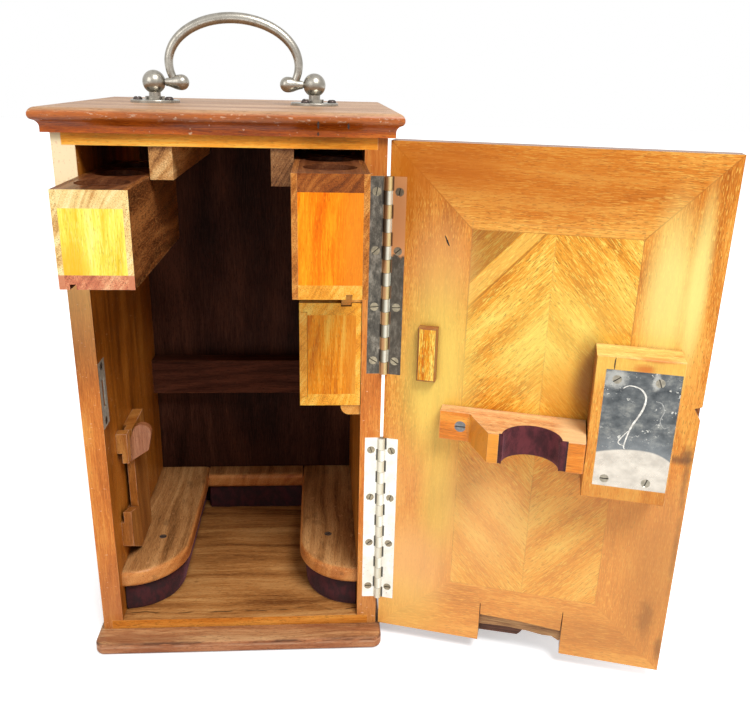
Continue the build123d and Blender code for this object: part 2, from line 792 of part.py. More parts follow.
# ---------------------------------------------------------------- door, drawn from the hinge axis
def door_cutters():
    """What is cut from the door for hinges, notch, chip and key."""
    tools = []
    for low_z in HINGE_LOWS:
        tools.append(
            board(0, HINGE_LEAF_W, DOOR_FACE, DOOR_FACE + HINGE_LEAF_T, low_z, low_z + HINGE_L)
        )
        tools.append(rod(KNUCKLE_R + KNUCKLE_CLEAR, HINGE_L, Pos(0, 0, low_z)))
    tools += screws(door_hinge_screw_places(), HINGE_SCREW_L, slotted=False)
    tools += notch_cutters()
    chip = outline(
        [
            (DOOR_END, CHIP_Z - CHIP_H / 2),
            (DOOR_END, CHIP_Z + CHIP_H / 2),
            (DOOR_END - CHIP_W, CHIP_Z + CHIP_RISE),
        ]
    )
    tools.append(along_y(chip, DOOR_FACE, DOOR_FACE + CHIP_DEEP))
    tools.append(key_way(-DOOR_T, 0))
    tools += screws(bar_screw_places(), BAR_SCREW_L, BAR_SCREW_R, slotted=False)
    return tools


def notch_cutters():
    """The notch for the toe, with the broken wood and the saw cuts round it."""
    ragged = (
        (0, NOTCH_SPLINTER_H - 0.9),
        (SPLINTER_L - 2.2, NOTCH_SPLINTER_H),
        (SPLINTER_L, NOTCH_SPLINTER_H + 2.4),
        (SPLINTER_L + 3.1, NOTCH_H + 0.5),
        (SPLINTER_L + 15.8, NOTCH_H - 1.2),
        (SPLINTER_L + 22.2, NOTCH_H - 0.8),
        (NOTCH_W - 1.1, NOTCH_H - 3.7),
        (NOTCH_W, NOTCH_H - 2.6),
    )
    broken = (
        (0, SPLINTER_H - 0.7),
        (SPLINTER_L - 9, SPLINTER_H + 0.5),
        (SPLINTER_L + 4, SPLINTER_H - 0.4),
    )
    facing = (
        (0, BREAK_H + 0.6),
        (SPLINTER_L - 2, BREAK_H),
        (NOTCH_W, BREAK_H - BREAK_DROP),
    )
    tools = [
        along_y(foot_cutter(ragged), DOOR_FACE, DOOR_FACE + DOOR_T),
        along_y(foot_cutter(broken), DOOR_FACE, DOOR_FACE + SPLINTER_DEEP),
        along_y(foot_cutter(facing), DOOR_FACE, DOOR_FACE + BREAK_DEEP),
    ]
    for x, height, way in ((NOTCH_START, KERF_HINGE_H, 1), (NOTCH_END, KERF_LOCK_H, -1)):
        kerf = outline(
            [
                (x, DOOR_LOW),
                (x, DOOR_LOW + height),
                (x + way * KERF_TIP_W, DOOR_LOW + height),
                (x + way * KERF_W, DOOR_LOW),
            ]
        )
        tools.append(along_y(kerf, DOOR_FACE, DOOR_FACE + BREAK_DEEP))
    return tools


def foot_cutter(top):
    """A flat face from the door's foot up to a line of points, measured from the notch."""
    points = [(NOTCH_START + x, DOOR_LOW + z) for x, z in top]
    return outline([(points[0][0], DOOR_LOW)] + points + [(points[-1][0], DOOR_LOW)])


def door_core():
    body = door_board(EDGE_GAP, DOOR_END, -DOOR_T, -VENEER_T, DOOR_LOW, DOOR_HIGH)
    return cut(body, door_cutters())


def border_facing():
    """Four mitred pieces of facing round the door's inner side."""
    corners = [
        (EDGE_GAP, DOOR_LOW),
        (DOOR_END, DOOR_LOW),
        (DOOR_END, DOOR_HIGH),
        (EDGE_GAP, DOOR_HIGH),
    ]
    panel = [
        (PANEL_START, PANEL_LOW),
        (PANEL_END, PANEL_LOW),
        (PANEL_END, PANEL_HIGH),
        (PANEL_START, PANEL_HIGH),
    ]
    pieces = []
    for i in range(4):
        j = (i + 1) % 4
        shape = outline([corners[i], corners[j], panel[j], panel[i]])
        piece = along_y(shape, DOOR_FACE, DOOR_FACE + VENEER_T)
        pieces.append(cut(piece, door_cutters()))
    return pieces


def centre_facing():
    """Two halves of facing inside the border, whose grain meets in a chevron."""
    middle = (PANEL_START + PANEL_END) / 2
    halves = []
    for x0, x1 in ((PANEL_START, middle), (middle, PANEL_END)):
        half = door_board(x0, x1, -VENEER_T, 0, PANEL_LOW, PANEL_HIGH)
        halves.append(cut(half, door_cutters()))
    return halves


def door_leaf(low_z):
    return hinge_leaf(1, low_z, 1)


def stop_block():
    """The small block on the door that stands before the lower box."""
    body = door_board(
        STOP_START, STOP_START + STOP_W, 0, STOP_DEEP, STOP_LOW_Z, STOP_LOW_Z + STOP_H
    )
    return chamfer(body.faces().sort_by(Axis.Y)[0].edges(), STOP_EDGE)


def bar_screw_places():
    y = DOOR_FACE - BAR_TONGUE_T
    return [Pos(BAR_START + BAR_SCREW_IN, y, BAR_LOW_Z + BAR_H / 2) * Rot(90, 0, 0)]


def clamp_bar():
    """The bar that reaches in from the door, with a round cup for the pillar."""
    tongue_end = BAR_START + BAR_TONGUE_L
    face = DOOR_FACE - BAR_DEEP
    low = DOOR_FACE - BAR_TONGUE_T
    hollow = (tongue_end + BAR_RAMP_TURN, low - BAR_RAMP_TURN)
    ramp_top = (tongue_end + BAR_RAMP_L, face)
    sides = Polyline(
        hollow,
        ramp_top,
        (BAR_END, face),
        (BAR_END, DOOR_FACE),
        (BAR_START, DOOR_FACE),
        (BAR_START, low),
        (tongue_end, low),
    )
    turn = TangentArc((tongue_end, low), hollow, tangent=(1, 0))
    shape = make_face(sides.edges() + turn.edges())
    body = along_z(shape, BAR_LOW_Z, BAR_LOW_Z + BAR_H)
    corner = body.edges().filter_by(Axis.Z).sort_by(Axis.X)[-2:].sort_by(Axis.Y)[0]
    body = fillet(corner, BAR_END_R)
    return cut(body - cup_hollow(CUP_R), screws(bar_screw_places(), BAR_SCREW_L, BAR_SCREW_R, slotted=False))


def cup_hollow(radius):
    """The bar's cup, and the shallow seats for velvet on the bar's face beside it."""
    face = DOOR_FACE - BAR_DEEP
    z1 = BAR_LOW_Z + BAR_H
    seats = board(
        CUP_MIDDLE - LIP_HINGE, CUP_MIDDLE + LIP_LOCK, face, face + CUP_LINER_T, BAR_LOW_Z, z1
    )
    cup = rod(radius, BAR_H, Pos(CUP_MIDDLE, face, BAR_LOW_Z))
    return seats + (cup & board(0, DOOR_END, face, DOOR_FACE, BAR_LOW_Z, z1))


def cup_liner():
    """The velvet in the bar's cup and over its lips."""
    inner = rod(CUP_R - CUP_LINER_T, BAR_H, Pos(CUP_MIDDLE, DOOR_FACE - BAR_DEEP, BAR_LOW_Z))
    return cup_hollow(CUP_R) - inner


# ---------------------------------------------------------------- lock, drawn from the hinge axis
def key_way(off0, off1):
    """The hole for the key, between two distances off the door's inner face."""
    x = BLOCK_END - KEY_IN
    z = BLOCK_LOW_Z + KEY_UP
    y = DOOR_FACE - off0
    hole = rod(KEY_HOLE_R, off1 - off0, Pos(x, y, z) * Rot(90, 0, 0))
    slot = door_board(x - KEY_SLOT_W / 2, x + KEY_SLOT_W / 2, off0, off1, z - KEY_SLOT_H, z)
    return hole + slot


def cover_blank():
    return door_board(
        COVER_END - COVER_W, COVER_END, BLOCK_DEEP - COVER_T, BLOCK_DEEP, COVER_Z, COVER_Z + COVER_H
    )


def bolt_slot():
    """The way out for the bolt, through the lock's case and the block."""
    f = BOLT_FIT
    return door_board(
        LOCK_CASE_END - 2 * LOCK_SHEET,
        BLOCK_END,
        BOLT_OFF - f,
        BOLT_OFF + BOLT_T + f,
        BOLT_Z - f,
        BOLT_Z + BOLT_H + f,
    )


def lock_block():
    body = door_board(BLOCK_START, BLOCK_END, 0, BLOCK_DEEP, BLOCK_LOW_Z, BLOCK_HIGH_Z)
    body = chamfer(body.faces().sort_by(Axis.Y)[0].edges(), BLOCK_EDGE)
    body -= cover_blank()
    body -= door_board(
        LOCK_CASE_END - LOCK_CASE_W,
        LOCK_CASE_END,
        LOCK_CASE_TOP - LOCK_CASE_D,
        LOCK_CASE_TOP,
        LOCK_CASE_Z,
        LOCK_CASE_Z + LOCK_CASE_H,
    )
    body = body - bolt_slot() - key_way(0, LOCK_CASE_TOP)
    return cut(body, cover_screws(slotted=False))


def lock_cover():
    return cut(cover_blank(), cover_screws(slotted=False))


def cover_screws(slotted=True):
    return screws(cover_screw_places(), HINGE_SCREW_L, slotted=slotted)


def lock_case():
    """The lock's sheet metal case, open towards its cover."""
    start = LOCK_CASE_END - LOCK_CASE_W
    base = LOCK_CASE_TOP - LOCK_CASE_D
    top_z = LOCK_CASE_Z + LOCK_CASE_H
    t = LOCK_SHEET
    body = door_board(start, LOCK_CASE_END, base, LOCK_CASE_TOP, LOCK_CASE_Z, top_z)
    body -= door_board(
        start + t, LOCK_CASE_END - t, base + t, LOCK_CASE_TOP, LOCK_CASE_Z + t, top_z - t
    )
    body = body - bolt_slot() - key_way(0, LOCK_CASE_TOP)
    return cut(body, cover_screws(slotted=False))


def lock_posts():
    """The lever's pivot and the bolt's guide post, standing on the lock's case."""
    base = LOCK_CASE_TOP - LOCK_CASE_D + LOCK_SHEET
    y = DOOR_FACE - base
    tall = LOCK_CASE_TOP - base
    guide = Pos(BLOCK_END - POST_IN, y, BOLT_Z + BOLT_H / 2) * Rot(90, 0, 0)
    return [rod(LEVER_PIVOT_R, tall, lever_place(y)), rod(POST_R, tall, guide)]


def lever_place(y):
    """The lever's pivot at a depth, with Z pointing off the door."""
    x = BLOCK_END - LEVER_PIVOT_IN
    return Pos(x, y, BLOCK_LOW_Z + LEVER_PIVOT_UP) * Rot(90, 0, 0)


def lock_bolt():
    """The bolt, with a slotted tail round its guide post."""
    end = BLOCK_END + BOLT_OUT
    neck = end - BOLT_HEAD_L
    off1 = BOLT_OFF + BOLT_T
    middle = BOLT_Z + BOLT_H / 2
    half = BOLT_TAIL_H / 2
    body = door_board(neck, end, BOLT_OFF, off1, BOLT_Z, BOLT_Z + BOLT_H)
    body += door_board(neck - BOLT_TAIL_L, neck, BOLT_OFF, off1, middle - half, middle + half)
    post = BLOCK_END - POST_IN
    f = POST_R + BOLT_FIT
    way = door_board(
        post - BOLT_THROW - f, post + BOLT_BACK + f, BOLT_OFF, off1, middle - f, middle + f
    )
    return body - way


def lock_lever():
    """The lever that drops over the bolt's tail."""
    off0 = BOLT_OFF + BOLT_T + LEVER_GAP
    y = DOOR_FACE - off0
    x = BLOCK_END - LEVER_PIVOT_IN
    z = BLOCK_LOW_Z + LEVER_PIVOT_UP
    eye = rod(LEVER_EYE_R, LEVER_T, lever_place(y))
    arm = door_board(
        x, x + LEVER_ARM_L, off0, off0 + LEVER_T, z - LEVER_DROP, z - LEVER_DROP + LEVER_ARM_H
    )
    web = door_board(x - LEVER_EYE_R, x + LEVER_EYE_R, off0, off0 + LEVER_T, z - LEVER_DROP, z)
    return eye + arm + web - rod(LEVER_PIVOT_R + RUNNING_FIT, LEVER_T, lever_place(y))


def lever_spring():
    """The flat spring that hangs from the lock's case over the lever."""
    top = LOCK_CASE_Z + LOCK_CASE_H - LOCK_SHEET
    x = LOCK_CASE_END - LOCK_CASE_W + LOCK_SHEET
    shape = outline(
        [
            (x, top),
            (x + SPRING_H, top),
            (x + SPRING_L, top - SPRING_DROP),
            (x + SPRING_L, top - SPRING_DROP - SPRING_T),
            (x, top - SPRING_T),
        ]
    )
    off0 = BOLT_OFF + BOLT_T + LEVER_GAP
    return along_y(shape, DOOR_FACE - off0 - SPRING_H, DOOR_FACE - off0)


def key_pin():
    """The pin that a piped key fits over."""
    base = LOCK_CASE_TOP - KEY_PIN_L
    x = BLOCK_END - KEY_IN
    z = BLOCK_LOW_Z + KEY_UP
    return rod(KEY_PIN_R, KEY_PIN_L, Pos(x, DOOR_FACE - base, z) * Rot(90, 0, 0))


def escutcheon():
    """The keyhole plate on the door's outer face."""
    x = BLOCK_END - KEY_IN
    z = BLOCK_LOW_Z + KEY_UP - KEY_SLOT_H / 2
    oval = Pos(x, z) * Ellipse(ESCUTCHEON_W / 2, ESCUTCHEON_H / 2)
    y = DOOR_FACE + DOOR_T
    body = along_y(oval, y, y + ESCUTCHEON_T)
    return body - key_way(-DOOR_T - ESCUTCHEON_T, -DOOR_T)


# ---------------------------------------------------------------- boxes
def box_frame(side):
    """Where an upper box stands: its X, Y and Z limits."""
    wide, high, low, out = {
        -1: (LEFT_BOX_W, LEFT_BOX_H, LEFT_BOX_Z, LEFT_BOX_OUT),
        1: (RIGHT_BOX_W, RIGHT_BOX_H, RIGHT_BOX_Z, RIGHT_BOX_OUT),
    }[side]
    near = side * (WALL - SLIDE_GAP)
    x0, x1 = sorted((near, near - side * wide))
    y = FRONT - out
    return x0, x1, y, y + BOX_L, low, low + high


def box_sides(side):
    x0, x1, y0, y1, z0, z1 = box_frame(side)
    t = BOX_SIDE_T
    return [board(x0, x0 + t, y0, y1, z0, z1), board(x1 - t, x1, y0, y1, z0, z1)]


def box_ends(side):
    """The panels let in between the sides at the front and the back."""
    x0, x1, y0, y1, z0, z1 = box_frame(side)
    xs = (x0 + BOX_SIDE_T, x1 - BOX_SIDE_T)
    zs = (z0 + BOX_BOTTOM_T, z1 - BOX_TOP_T)
    return [board(*xs, y0, y0 + BOX_END_T, *zs), board(*xs, y1 - BOX_END_T, y1, *zs)]


def box_top(side):
    """The drilled board in the top of an upper box."""
    x0, x1, y0, y1, z0, z1 = box_frame(side)
    body = board(x0 + BOX_SIDE_T, x1 - BOX_SIDE_T, y0, y1, z1 - BOX_TOP_T, z1)
    for i in range(HOLES):
        place = Pos((x0 + x1) / 2, y0 + HOLE_FIRST + i * HOLE_STEP, z1 - BOX_TOP_T)
        body -= rod(HOLE_R, BOX_TOP_T, place)
        body -= rod(HOLE_RIM_R, HOLE_RIM_H, place * Pos(0, 0, BOX_TOP_T - HOLE_RIM_H))
    return body


def box_bottom(side):
    """The grooved board in the bottom of an upper box."""
    x0, x1, y0, y1, z0, z1 = box_frame(side)
    inset = RIGHT_GUIDE_IN if side > 0 else LEFT_GUIDE_IN
    g0, g1 = sorted((side * (WALL - inset), side * (WALL - inset - GUIDE_W)))
    body = board(x0 + BOX_SIDE_T, x1 - BOX_SIDE_T, y0, y1, z0, z0 + BOX_BOTTOM_T)
    return body - board(g0 - GROOVE_CLEAR, g1 + GROOVE_CLEAR, y0, y1, z0, z0 + GROOVE_H)


def lower_frame():
    x1 = WALL - SLIDE_GAP
    y0 = FRONT + LOWER_BOX_IN
    return x1 - LOWER_BOX_W, x1, y0, y0 + BOX_L, LOWER_BOX_Z, LOWER_BOX_Z + LOWER_BOX_H


def lid_blank(spare=0.0):
    """The sliding side of the lower box, or the rebate that it runs in."""
    x0, x1, y0, y1, z0, z1 = lower_frame()
    rise = BOX_BOTTOM_T - LID_REBATE
    return board(
        x0,
        x0 + LID_T + spare,
        y0,
        y1 - BOX_END_T,
        z0 + rise - spare,
        z1 - rise + spare,
    )


def lower_boards():
    """The top and bottom boards of the lower box."""
    x0, x1, y0, y1, z0, z1 = lower_frame()
    low = board(x0, x1, y0, y1, z0, z0 + BOX_BOTTOM_T) - lid_blank(LID_FIT)
    top = board(x0, x1, y0, y1, z1 - BOX_BOTTOM_T, z1) - lid_blank(LID_FIT)
    f = GROOVE_CLEAR
    k1 = WALL - KEEL_IN
    groove = board(k1 - KEEL_W - f, k1 + f, y0, y1, z1 - KEEL_H - f, z1)
    return [low, top - groove]


def lower_side():
    x0, x1, y0, y1, z0, z1 = lower_frame()
    return board(x1 - BOX_SIDE_T, x1, y0, y1, z0 + BOX_BOTTOM_T, z1 - BOX_BOTTOM_T)


def lower_ends():
    x0, x1, y0, y1, z0, z1 = lower_frame()
    zs = (z0 + BOX_BOTTOM_T, z1 - BOX_BOTTOM_T)
    right = x1 - BOX_SIDE_T
    front = board(x0 + LID_T + LID_FIT, right, y0, y0 + BOX_END_T, *zs)
    return [front, board(x0, right, y1 - BOX_END_T, y1, *zs)]


# ---------------------------------------------------------------- carrying handle
def handle_post(side):
    """A ball on a collar and a round flange, bored for the bail's pivot."""
    place = Pos(side * POST_X, 0, ROOF)
    flange = rod(FLANGE_R, FLANGE_T, place)
    flange = fillet(flange.edges().sort_by(Axis.Z)[-1], FLANGE_EDGE_R)
    body = flange + rod(COLLAR_R, COLLAR_H, place * Pos(0, 0, FLANGE_T))
    body += rod(NECK_R, BALL_Z - FLANGE_T, place * Pos(0, 0, FLANGE_T))
    body += place * Pos(0, 0, BALL_Z) * Rot(0, 0, 90) * Sphere(BALL_R)
    body -= pivot_rod(side, CLUB_START, PIVOT_DEEP, PIVOT_R + PIVOT_FIT)
    return cut(body, post_screws(slotted=False))


def pivot_rod(side, start, length, radius):
    """A rod along the bail's axis, running outwards from its distance to the middle."""
    return rod(radius, length, Pos(side * start, 0, PIVOT_Z) * Rot(0, side * 90, 0))


def post_screws(slotted=True):
    """Round-headed screws in the flanges."""
    group = []
    for i, place in enumerate(post_screw_places()):
        body = rod(SCREW_SHANK_R, POST_SCREW_L, place * Pos(0, 0, -POST_SCREW_L))
        head = rod(POST_SCREW_R, POST_SCREW_H, place)
        head = fillet(head.edges().sort_by(Axis.Z)[-1], POST_DOME_R)
        body += head
        if slotted:
            turned = place * Rot(0, 0, SCREW_TURN * i)
            top = turned * Pos(0, 0, POST_SCREW_H - SCREW_SLOT_H / 2)
            body -= top * Box(3 * POST_SCREW_R, SCREW_SLOT_W, SCREW_SLOT_H)
        group.append(body)
    return group


def arch():
    """The bail's arch, thickest in the middle."""
    sections = []
    sweep = 180 + 2 * ARCH_DIP
    middle_z = PIVOT_Z + ARCH_UP
    for i in range(ARCH_STEPS + 1):
        t = radians(-ARCH_DIP + sweep * i / ARCH_STEPS)
        spot = (ARCH_A * cos(t), 0, middle_z + ARCH_B * sin(t))
        along = (-ARCH_A * sin(t), 0, ARCH_B * cos(t))
        radius = ARCH_END_R + (ARCH_MID_R - ARCH_END_R) * (1 + sin(t)) / 2
        sections.append(Plane(origin=spot, x_dir=(0, 1, 0), z_dir=along) * Circle(radius))
    return loft(sections)


def club(side):
    """The turned end of the bail, with the stub that pivots in the ball."""
    x0 = CLUB_START
    x1 = CLUB_START - CLUB_L
    shape = make_face(
        [
            Line((x0, 0), (x0, CLUB_NECK_R)),
            Spline((x0, CLUB_NECK_R), (x1, CLUB_R), tangents=((-1, 0.1), (-1, 0))),
            ThreePointArc(
                (x1, CLUB_R), (x1 - CLUB_R * sin(radians(45)), CLUB_R * cos(radians(45))),
                (x1 - CLUB_R, 0),
            ),
            Line((x1 - CLUB_R, 0), (x0, 0)),
        ]
    )
    body = revolve(Plane.XZ * shape, Axis.X)
    if side < 0:
        body = mirror(body, about=Plane.YZ)
    body = Pos(0, 0, PIVOT_Z) * body
    return body + pivot_rod(side, CLUB_START, PIVOT_DEEP - CLUB_GAP, PIVOT_R)


def bail():
    return arch() + club(-1) + club(1)


# ---------------------------------------------------------------- every piece by its name
def on_door(pieces):
    """Pieces drawn from the hinge axis, moved to the open door."""
    pieces = pieces if isinstance(pieces, list) else [pieces]
    return [DOOR_PLACE * p for p in pieces]


def all_nodes():
    upper = {"left_box": -1, "right_box": 1}
    nodes = {
        "plinth": plinth(),
        "side_panel_left": left_side(),
        "side_panel_right": right_side(),
        "carcass_top": carcass_board(CEILING),
        "carcass_floor": carcass_board(LOW),
        "back_panel": back_panel(),
        "top_board": top_board(),
        "hanging_runner_left": hanging_runner(-1, RUNNER_LEFT_H),
        "hanging_runner_right": hanging_runner(1, RUNNER_RIGHT_H),
        "left_box_rail": left_box_rail(),
        "right_box_rail": right_box_rail(),
        "lower_box_rail": lower_box_rail(),
        "foot_board_left": foot_board(-1),
        "foot_board_right": foot_board(1),
        "foot_board_rear": rear_foot_board(),
        "foot_velvet": foot_pads(),
        "foot_board_screws": foot_screws(),
        "rear_cross_rail": cross_rail(),
        "rack_board": rack(),
        "turn_button": turn_button(),
        "turn_button_peg": button_peg(),
        "strike_plate": strike_plate(),
        "strike_screws": strike_screws(),
        "hinge_case_leaf_upper": case_leaf(HINGE_HIGH_Z),
        "hinge_case_leaf_lower": case_leaf(HINGE_LOW_Z),
        "hinge_pins": hinge_pins(),
        "hinge_case_screws": screws(case_hinge_screw_places(), HINGE_SCREW_L),
        "handle_posts": [handle_post(-1), handle_post(1)],
        "handle_post_screws": post_screws(),
        "handle_bail": bail(),
        "door_core": on_door(door_core()),
        "door_border_veneer": on_door(border_facing()),
        "door_centre_veneer": on_door(centre_facing()),
        "hinge_door_leaf_upper": on_door(door_leaf(HINGE_HIGH_Z)),
        "hinge_door_leaf_lower": on_door(door_leaf(HINGE_LOW_Z)),
        "hinge_door_screws": on_door(screws(door_hinge_screw_places(), HINGE_SCREW_L)),
        "stop_block": on_door(stop_block()),
        "clamp_bar": on_door(clamp_bar()),
        "clamp_bar_velvet": on_door(cup_liner()),
        "clamp_bar_screw": on_door(screws(bar_screw_places(), BAR_SCREW_L, BAR_SCREW_R)),
        "lock_block": on_door(lock_block()),
        "lock_cover_plate": on_door(lock_cover()),
        "lock_cover_screws": on_door(cover_screws()),
        "lock_case": on_door(lock_case()),
        "lock_pins": on_door(lock_posts() + [key_pin()]),
        "lock_bolt": on_door(lock_bolt()),
        "lock_lever": on_door(lock_lever()),
        "lock_spring": on_door(lever_spring()),
        "keyhole_escutcheon": on_door(escutcheon()),
        "lower_box_boards": lower_boards() + [lower_side()],
        "lower_box_ends": lower_ends(),
        "lower_box_lid": lid_blank(),
    }
    for name, side in upper.items():
        nodes[name + "_sides"] = box_sides(side)
        nodes[name + "_ends"] = box_ends(side)
        nodes[name + "_top"] = box_top(side)
        nodes[name + "_bottom"] = box_bottom(side)
    return nodes


os.makedirs("parts", exist_ok=True)
for name, pieces in all_nodes().items():
    pieces = pieces if isinstance(pieces, list) else [pieces]
    solids = [solid for piece in pieces for solid in piece.solids()]
    whole = solids[0] if len(solids) == 1 else Compound(solids)
    export_step(whole, f"parts/{name}.step")
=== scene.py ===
import math
from functools import reduce

import bpy
from mathutils import Matrix, Vector, noise


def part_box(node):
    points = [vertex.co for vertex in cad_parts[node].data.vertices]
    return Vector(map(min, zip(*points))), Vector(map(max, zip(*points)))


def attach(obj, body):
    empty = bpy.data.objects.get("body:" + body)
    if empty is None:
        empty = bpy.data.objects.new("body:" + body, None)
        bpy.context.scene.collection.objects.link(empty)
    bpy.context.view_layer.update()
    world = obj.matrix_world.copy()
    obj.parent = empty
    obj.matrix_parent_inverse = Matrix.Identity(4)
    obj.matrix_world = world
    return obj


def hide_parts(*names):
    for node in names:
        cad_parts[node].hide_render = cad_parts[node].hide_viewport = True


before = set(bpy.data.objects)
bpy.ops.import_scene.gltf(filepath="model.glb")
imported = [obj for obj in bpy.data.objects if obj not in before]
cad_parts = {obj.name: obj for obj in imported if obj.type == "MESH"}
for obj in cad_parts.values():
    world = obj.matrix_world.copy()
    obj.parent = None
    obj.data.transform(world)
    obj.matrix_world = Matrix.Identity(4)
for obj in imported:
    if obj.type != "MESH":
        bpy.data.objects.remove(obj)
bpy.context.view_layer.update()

# Lengths are in metres. The origin is the middle of the case's footprint, under the plinth.
FRONT = -0.091  # the carcass's front plane
FRONT_EDGE = (FRONT + 0.0003, FRONT + 0.0001)  # where the colour of a front edge begins
WALL = 0.0861  # inner faces of the side walls
REAR = 0.0824
FLOOR = 0.0175
FOOT_UNDER = 0.0397  # underside of the foot boards
PAD_W = 0.0389  # the side pads' width, and the radius of their fronts
ROOF = 0.3784

AXIS = Vector((0.101, -0.0914, 0.0))  # the door's hinge axis
DOOR_TURN = math.radians(162.86 - 180.0)
FACE = 0.0004  # from the axis to the door's inner face
PANEL = (0.0535, 0.1545, 0.0568, 0.3168)  # the facing's centre: from and to, along and up
HEAD_SEAM = 0.3118  # where the facing's centre ends to the eye, under its upper border
NOTCH = (0.0759, 0.1343)
CUP = 0.1014  # from the hinge axis to the middle of the bar's cup
BAR_Z = (0.1739, 0.1939)
STOP = (0.0232, 0.0358, 0.2108, 0.2476)  # the stop block, along and up
STOP_RIM = 0.0011
UPPER_HINGE_Z = 0.2113
LOWER_HINGE_Z = 0.034
KNUCKLE_PITCH = 0.13 / 15


def door_point(along, off, up):
    """A place on the open door, by its distance from the hinge axis and off the inner face."""
    turned = Matrix.Rotation(DOOR_TURN, 3, "Z") @ Vector((along, FACE - off, 0.0))
    return AXIS + turned + Vector((0.0, 0.0, up))


# ---- making materials
class Tree:
    """The nodes of a material or the world, and short ways to add to them."""

    def __init__(self, holder):
        holder.use_nodes = True
        self.tree = holder.node_tree
        self.tree.nodes.clear()

    def add(self, kind, settings=None, **inputs):
        node = self.tree.nodes.new("ShaderNode" + kind)
        for key, value in (settings or {}).items():
            setattr(node, key, value)
        for key, value in inputs.items():
            self.join(node.inputs[key.replace("_", " ")], value)
        return node

    def join(self, socket, value):
        if isinstance(value, bpy.types.NodeSocket):
            self.tree.links.new(value, socket)
        elif socket.type == "RGBA":
            socket.default_value = (*value, 1.0)
        else:
            socket.default_value = value

    def fill(self, sockets, values):
        for socket, value in zip(sockets, values):
            self.join(socket, value)

    def calc(self, operation, *values, clamp=False):
        node = self.add("Math", {"operation": operation, "use_clamp": clamp})
        self.fill(node.inputs, values)
        return node.outputs[0]

    def plus(self, a, b):
        return self.calc("ADD", a, b)

    def minus(self, a, b):
        return self.calc("SUBTRACT", a, b)

    def absolute(self, value):
        return self.calc("ABSOLUTE", value)

    def scaled(self, value, scale, base):
        return self.calc("MULTIPLY_ADD", value, scale, base)

    def over(self, a, b, width):
        """How far a lies past b, as a share of a width."""
        return self.calc("DIVIDE", self.minus(a, b), width)

    def times(self, *values):
        return reduce(lambda a, b: self.calc("MULTIPLY", a, b), values)

    def most(self, *values):
        return reduce(lambda a, b: self.calc("MAXIMUM", a, b), values)

    def vector(self, operation, *values):
        node = self.add("VectorMath", {"operation": operation})
        self.fill(node.inputs, values)
        return node.outputs["Value" if operation in ("LENGTH", "DOT_PRODUCT") else "Vector"]

    def mix(self, factor, a, b):
        node = self.add("Mix", {"data_type": "RGBA"})
        self.fill((node.inputs[0], node.inputs[6], node.inputs[7]), (factor, a, b))
        return node.outputs[2]

    def tint(self, colour, tone, *masks):
        """The colour, with a tone put where all the masks are 1."""
        return self.mix(self.times(*masks), colour, tone)

    def between(self, factor, a, b):
        """A vector between two vectors."""
        node = self.add("Mix", {"data_type": "VECTOR"})
        self.fill((node.inputs[0], node.inputs[4], node.inputs[5]), (factor, a, b))
        return node.outputs[1]

    def step(self, value, low, high):
        """0 below low, 1 above high, and smooth between them. Low may be the larger."""
        ends = {"From_Min": low, "From_Max": high}
        if low > high:
            ends = {"From_Min": high, "From_Max": low, "To_Min": 1.0, "To_Max": 0.0}
        node = self.add("MapRange", {"interpolation_type": "SMOOTHSTEP"}, Value=value, **ends)
        return node.outputs[0]

    def noise(self, point, size, detail=2.0, roughness=0.5):
        """Noise whose features are about the given size in metres, one number or three."""
        sizes = size if isinstance(size, tuple) else (size, size, size)
        shrunk = self.vector("DIVIDE", point, sizes)
        node = self.add("TexNoise", Vector=shrunk, Scale=1.0, Detail=detail, Roughness=roughness)
        return node.outputs[0]

    def ramp(self, value, stops):
        node = self.add("ValToRGB", Fac=value)
        elements = node.color_ramp.elements
        while len(elements) < len(stops):
            elements.new(0.5)
        for element, (position, colour) in zip(elements, stops):
            element.position = position
            element.color = (*colour, 1.0)
        return node.outputs[0]

    def object_point(self):
        return self.add("TexCoord").outputs["Object"]

    def door_point(self):
        """Coordinates on the open door: X from the hinge axis, Y into the door and Z up."""
        return self.add(
            "Mapping",
            {"vector_type": "TEXTURE"},
            Vector=self.object_point(),
            Location=AXIS,
            Rotation=(0.0, 0.0, DOOR_TURN),
        ).outputs[0]

    def parts(self, point):
        return self.add("SeparateXYZ", Vector=point).outputs

    def together(self, x, y, z):
        return self.add("CombineXYZ", X=x, Y=y, Z=z).outputs[0]

    def edge(self, radius):
        """1 at sharp edges and 0 on flat faces."""
        rounded = self.add("Bevel", {"samples": 4}, Radius=radius).outputs[0]
        plain = self.add("NewGeometry").outputs["Normal"]
        return self.step(self.vector("DOT_PRODUCT", rounded, plain), 0.995, 0.86)

    def crevice(self, distance, shallow=0.75, deep=0.15):
        """1 deep in corners and 0 in the open."""
        node = self.add("AmbientOcclusion", {"samples": 6}, Distance=distance)
        return self.step(node.outputs["AO"], shallow, deep)


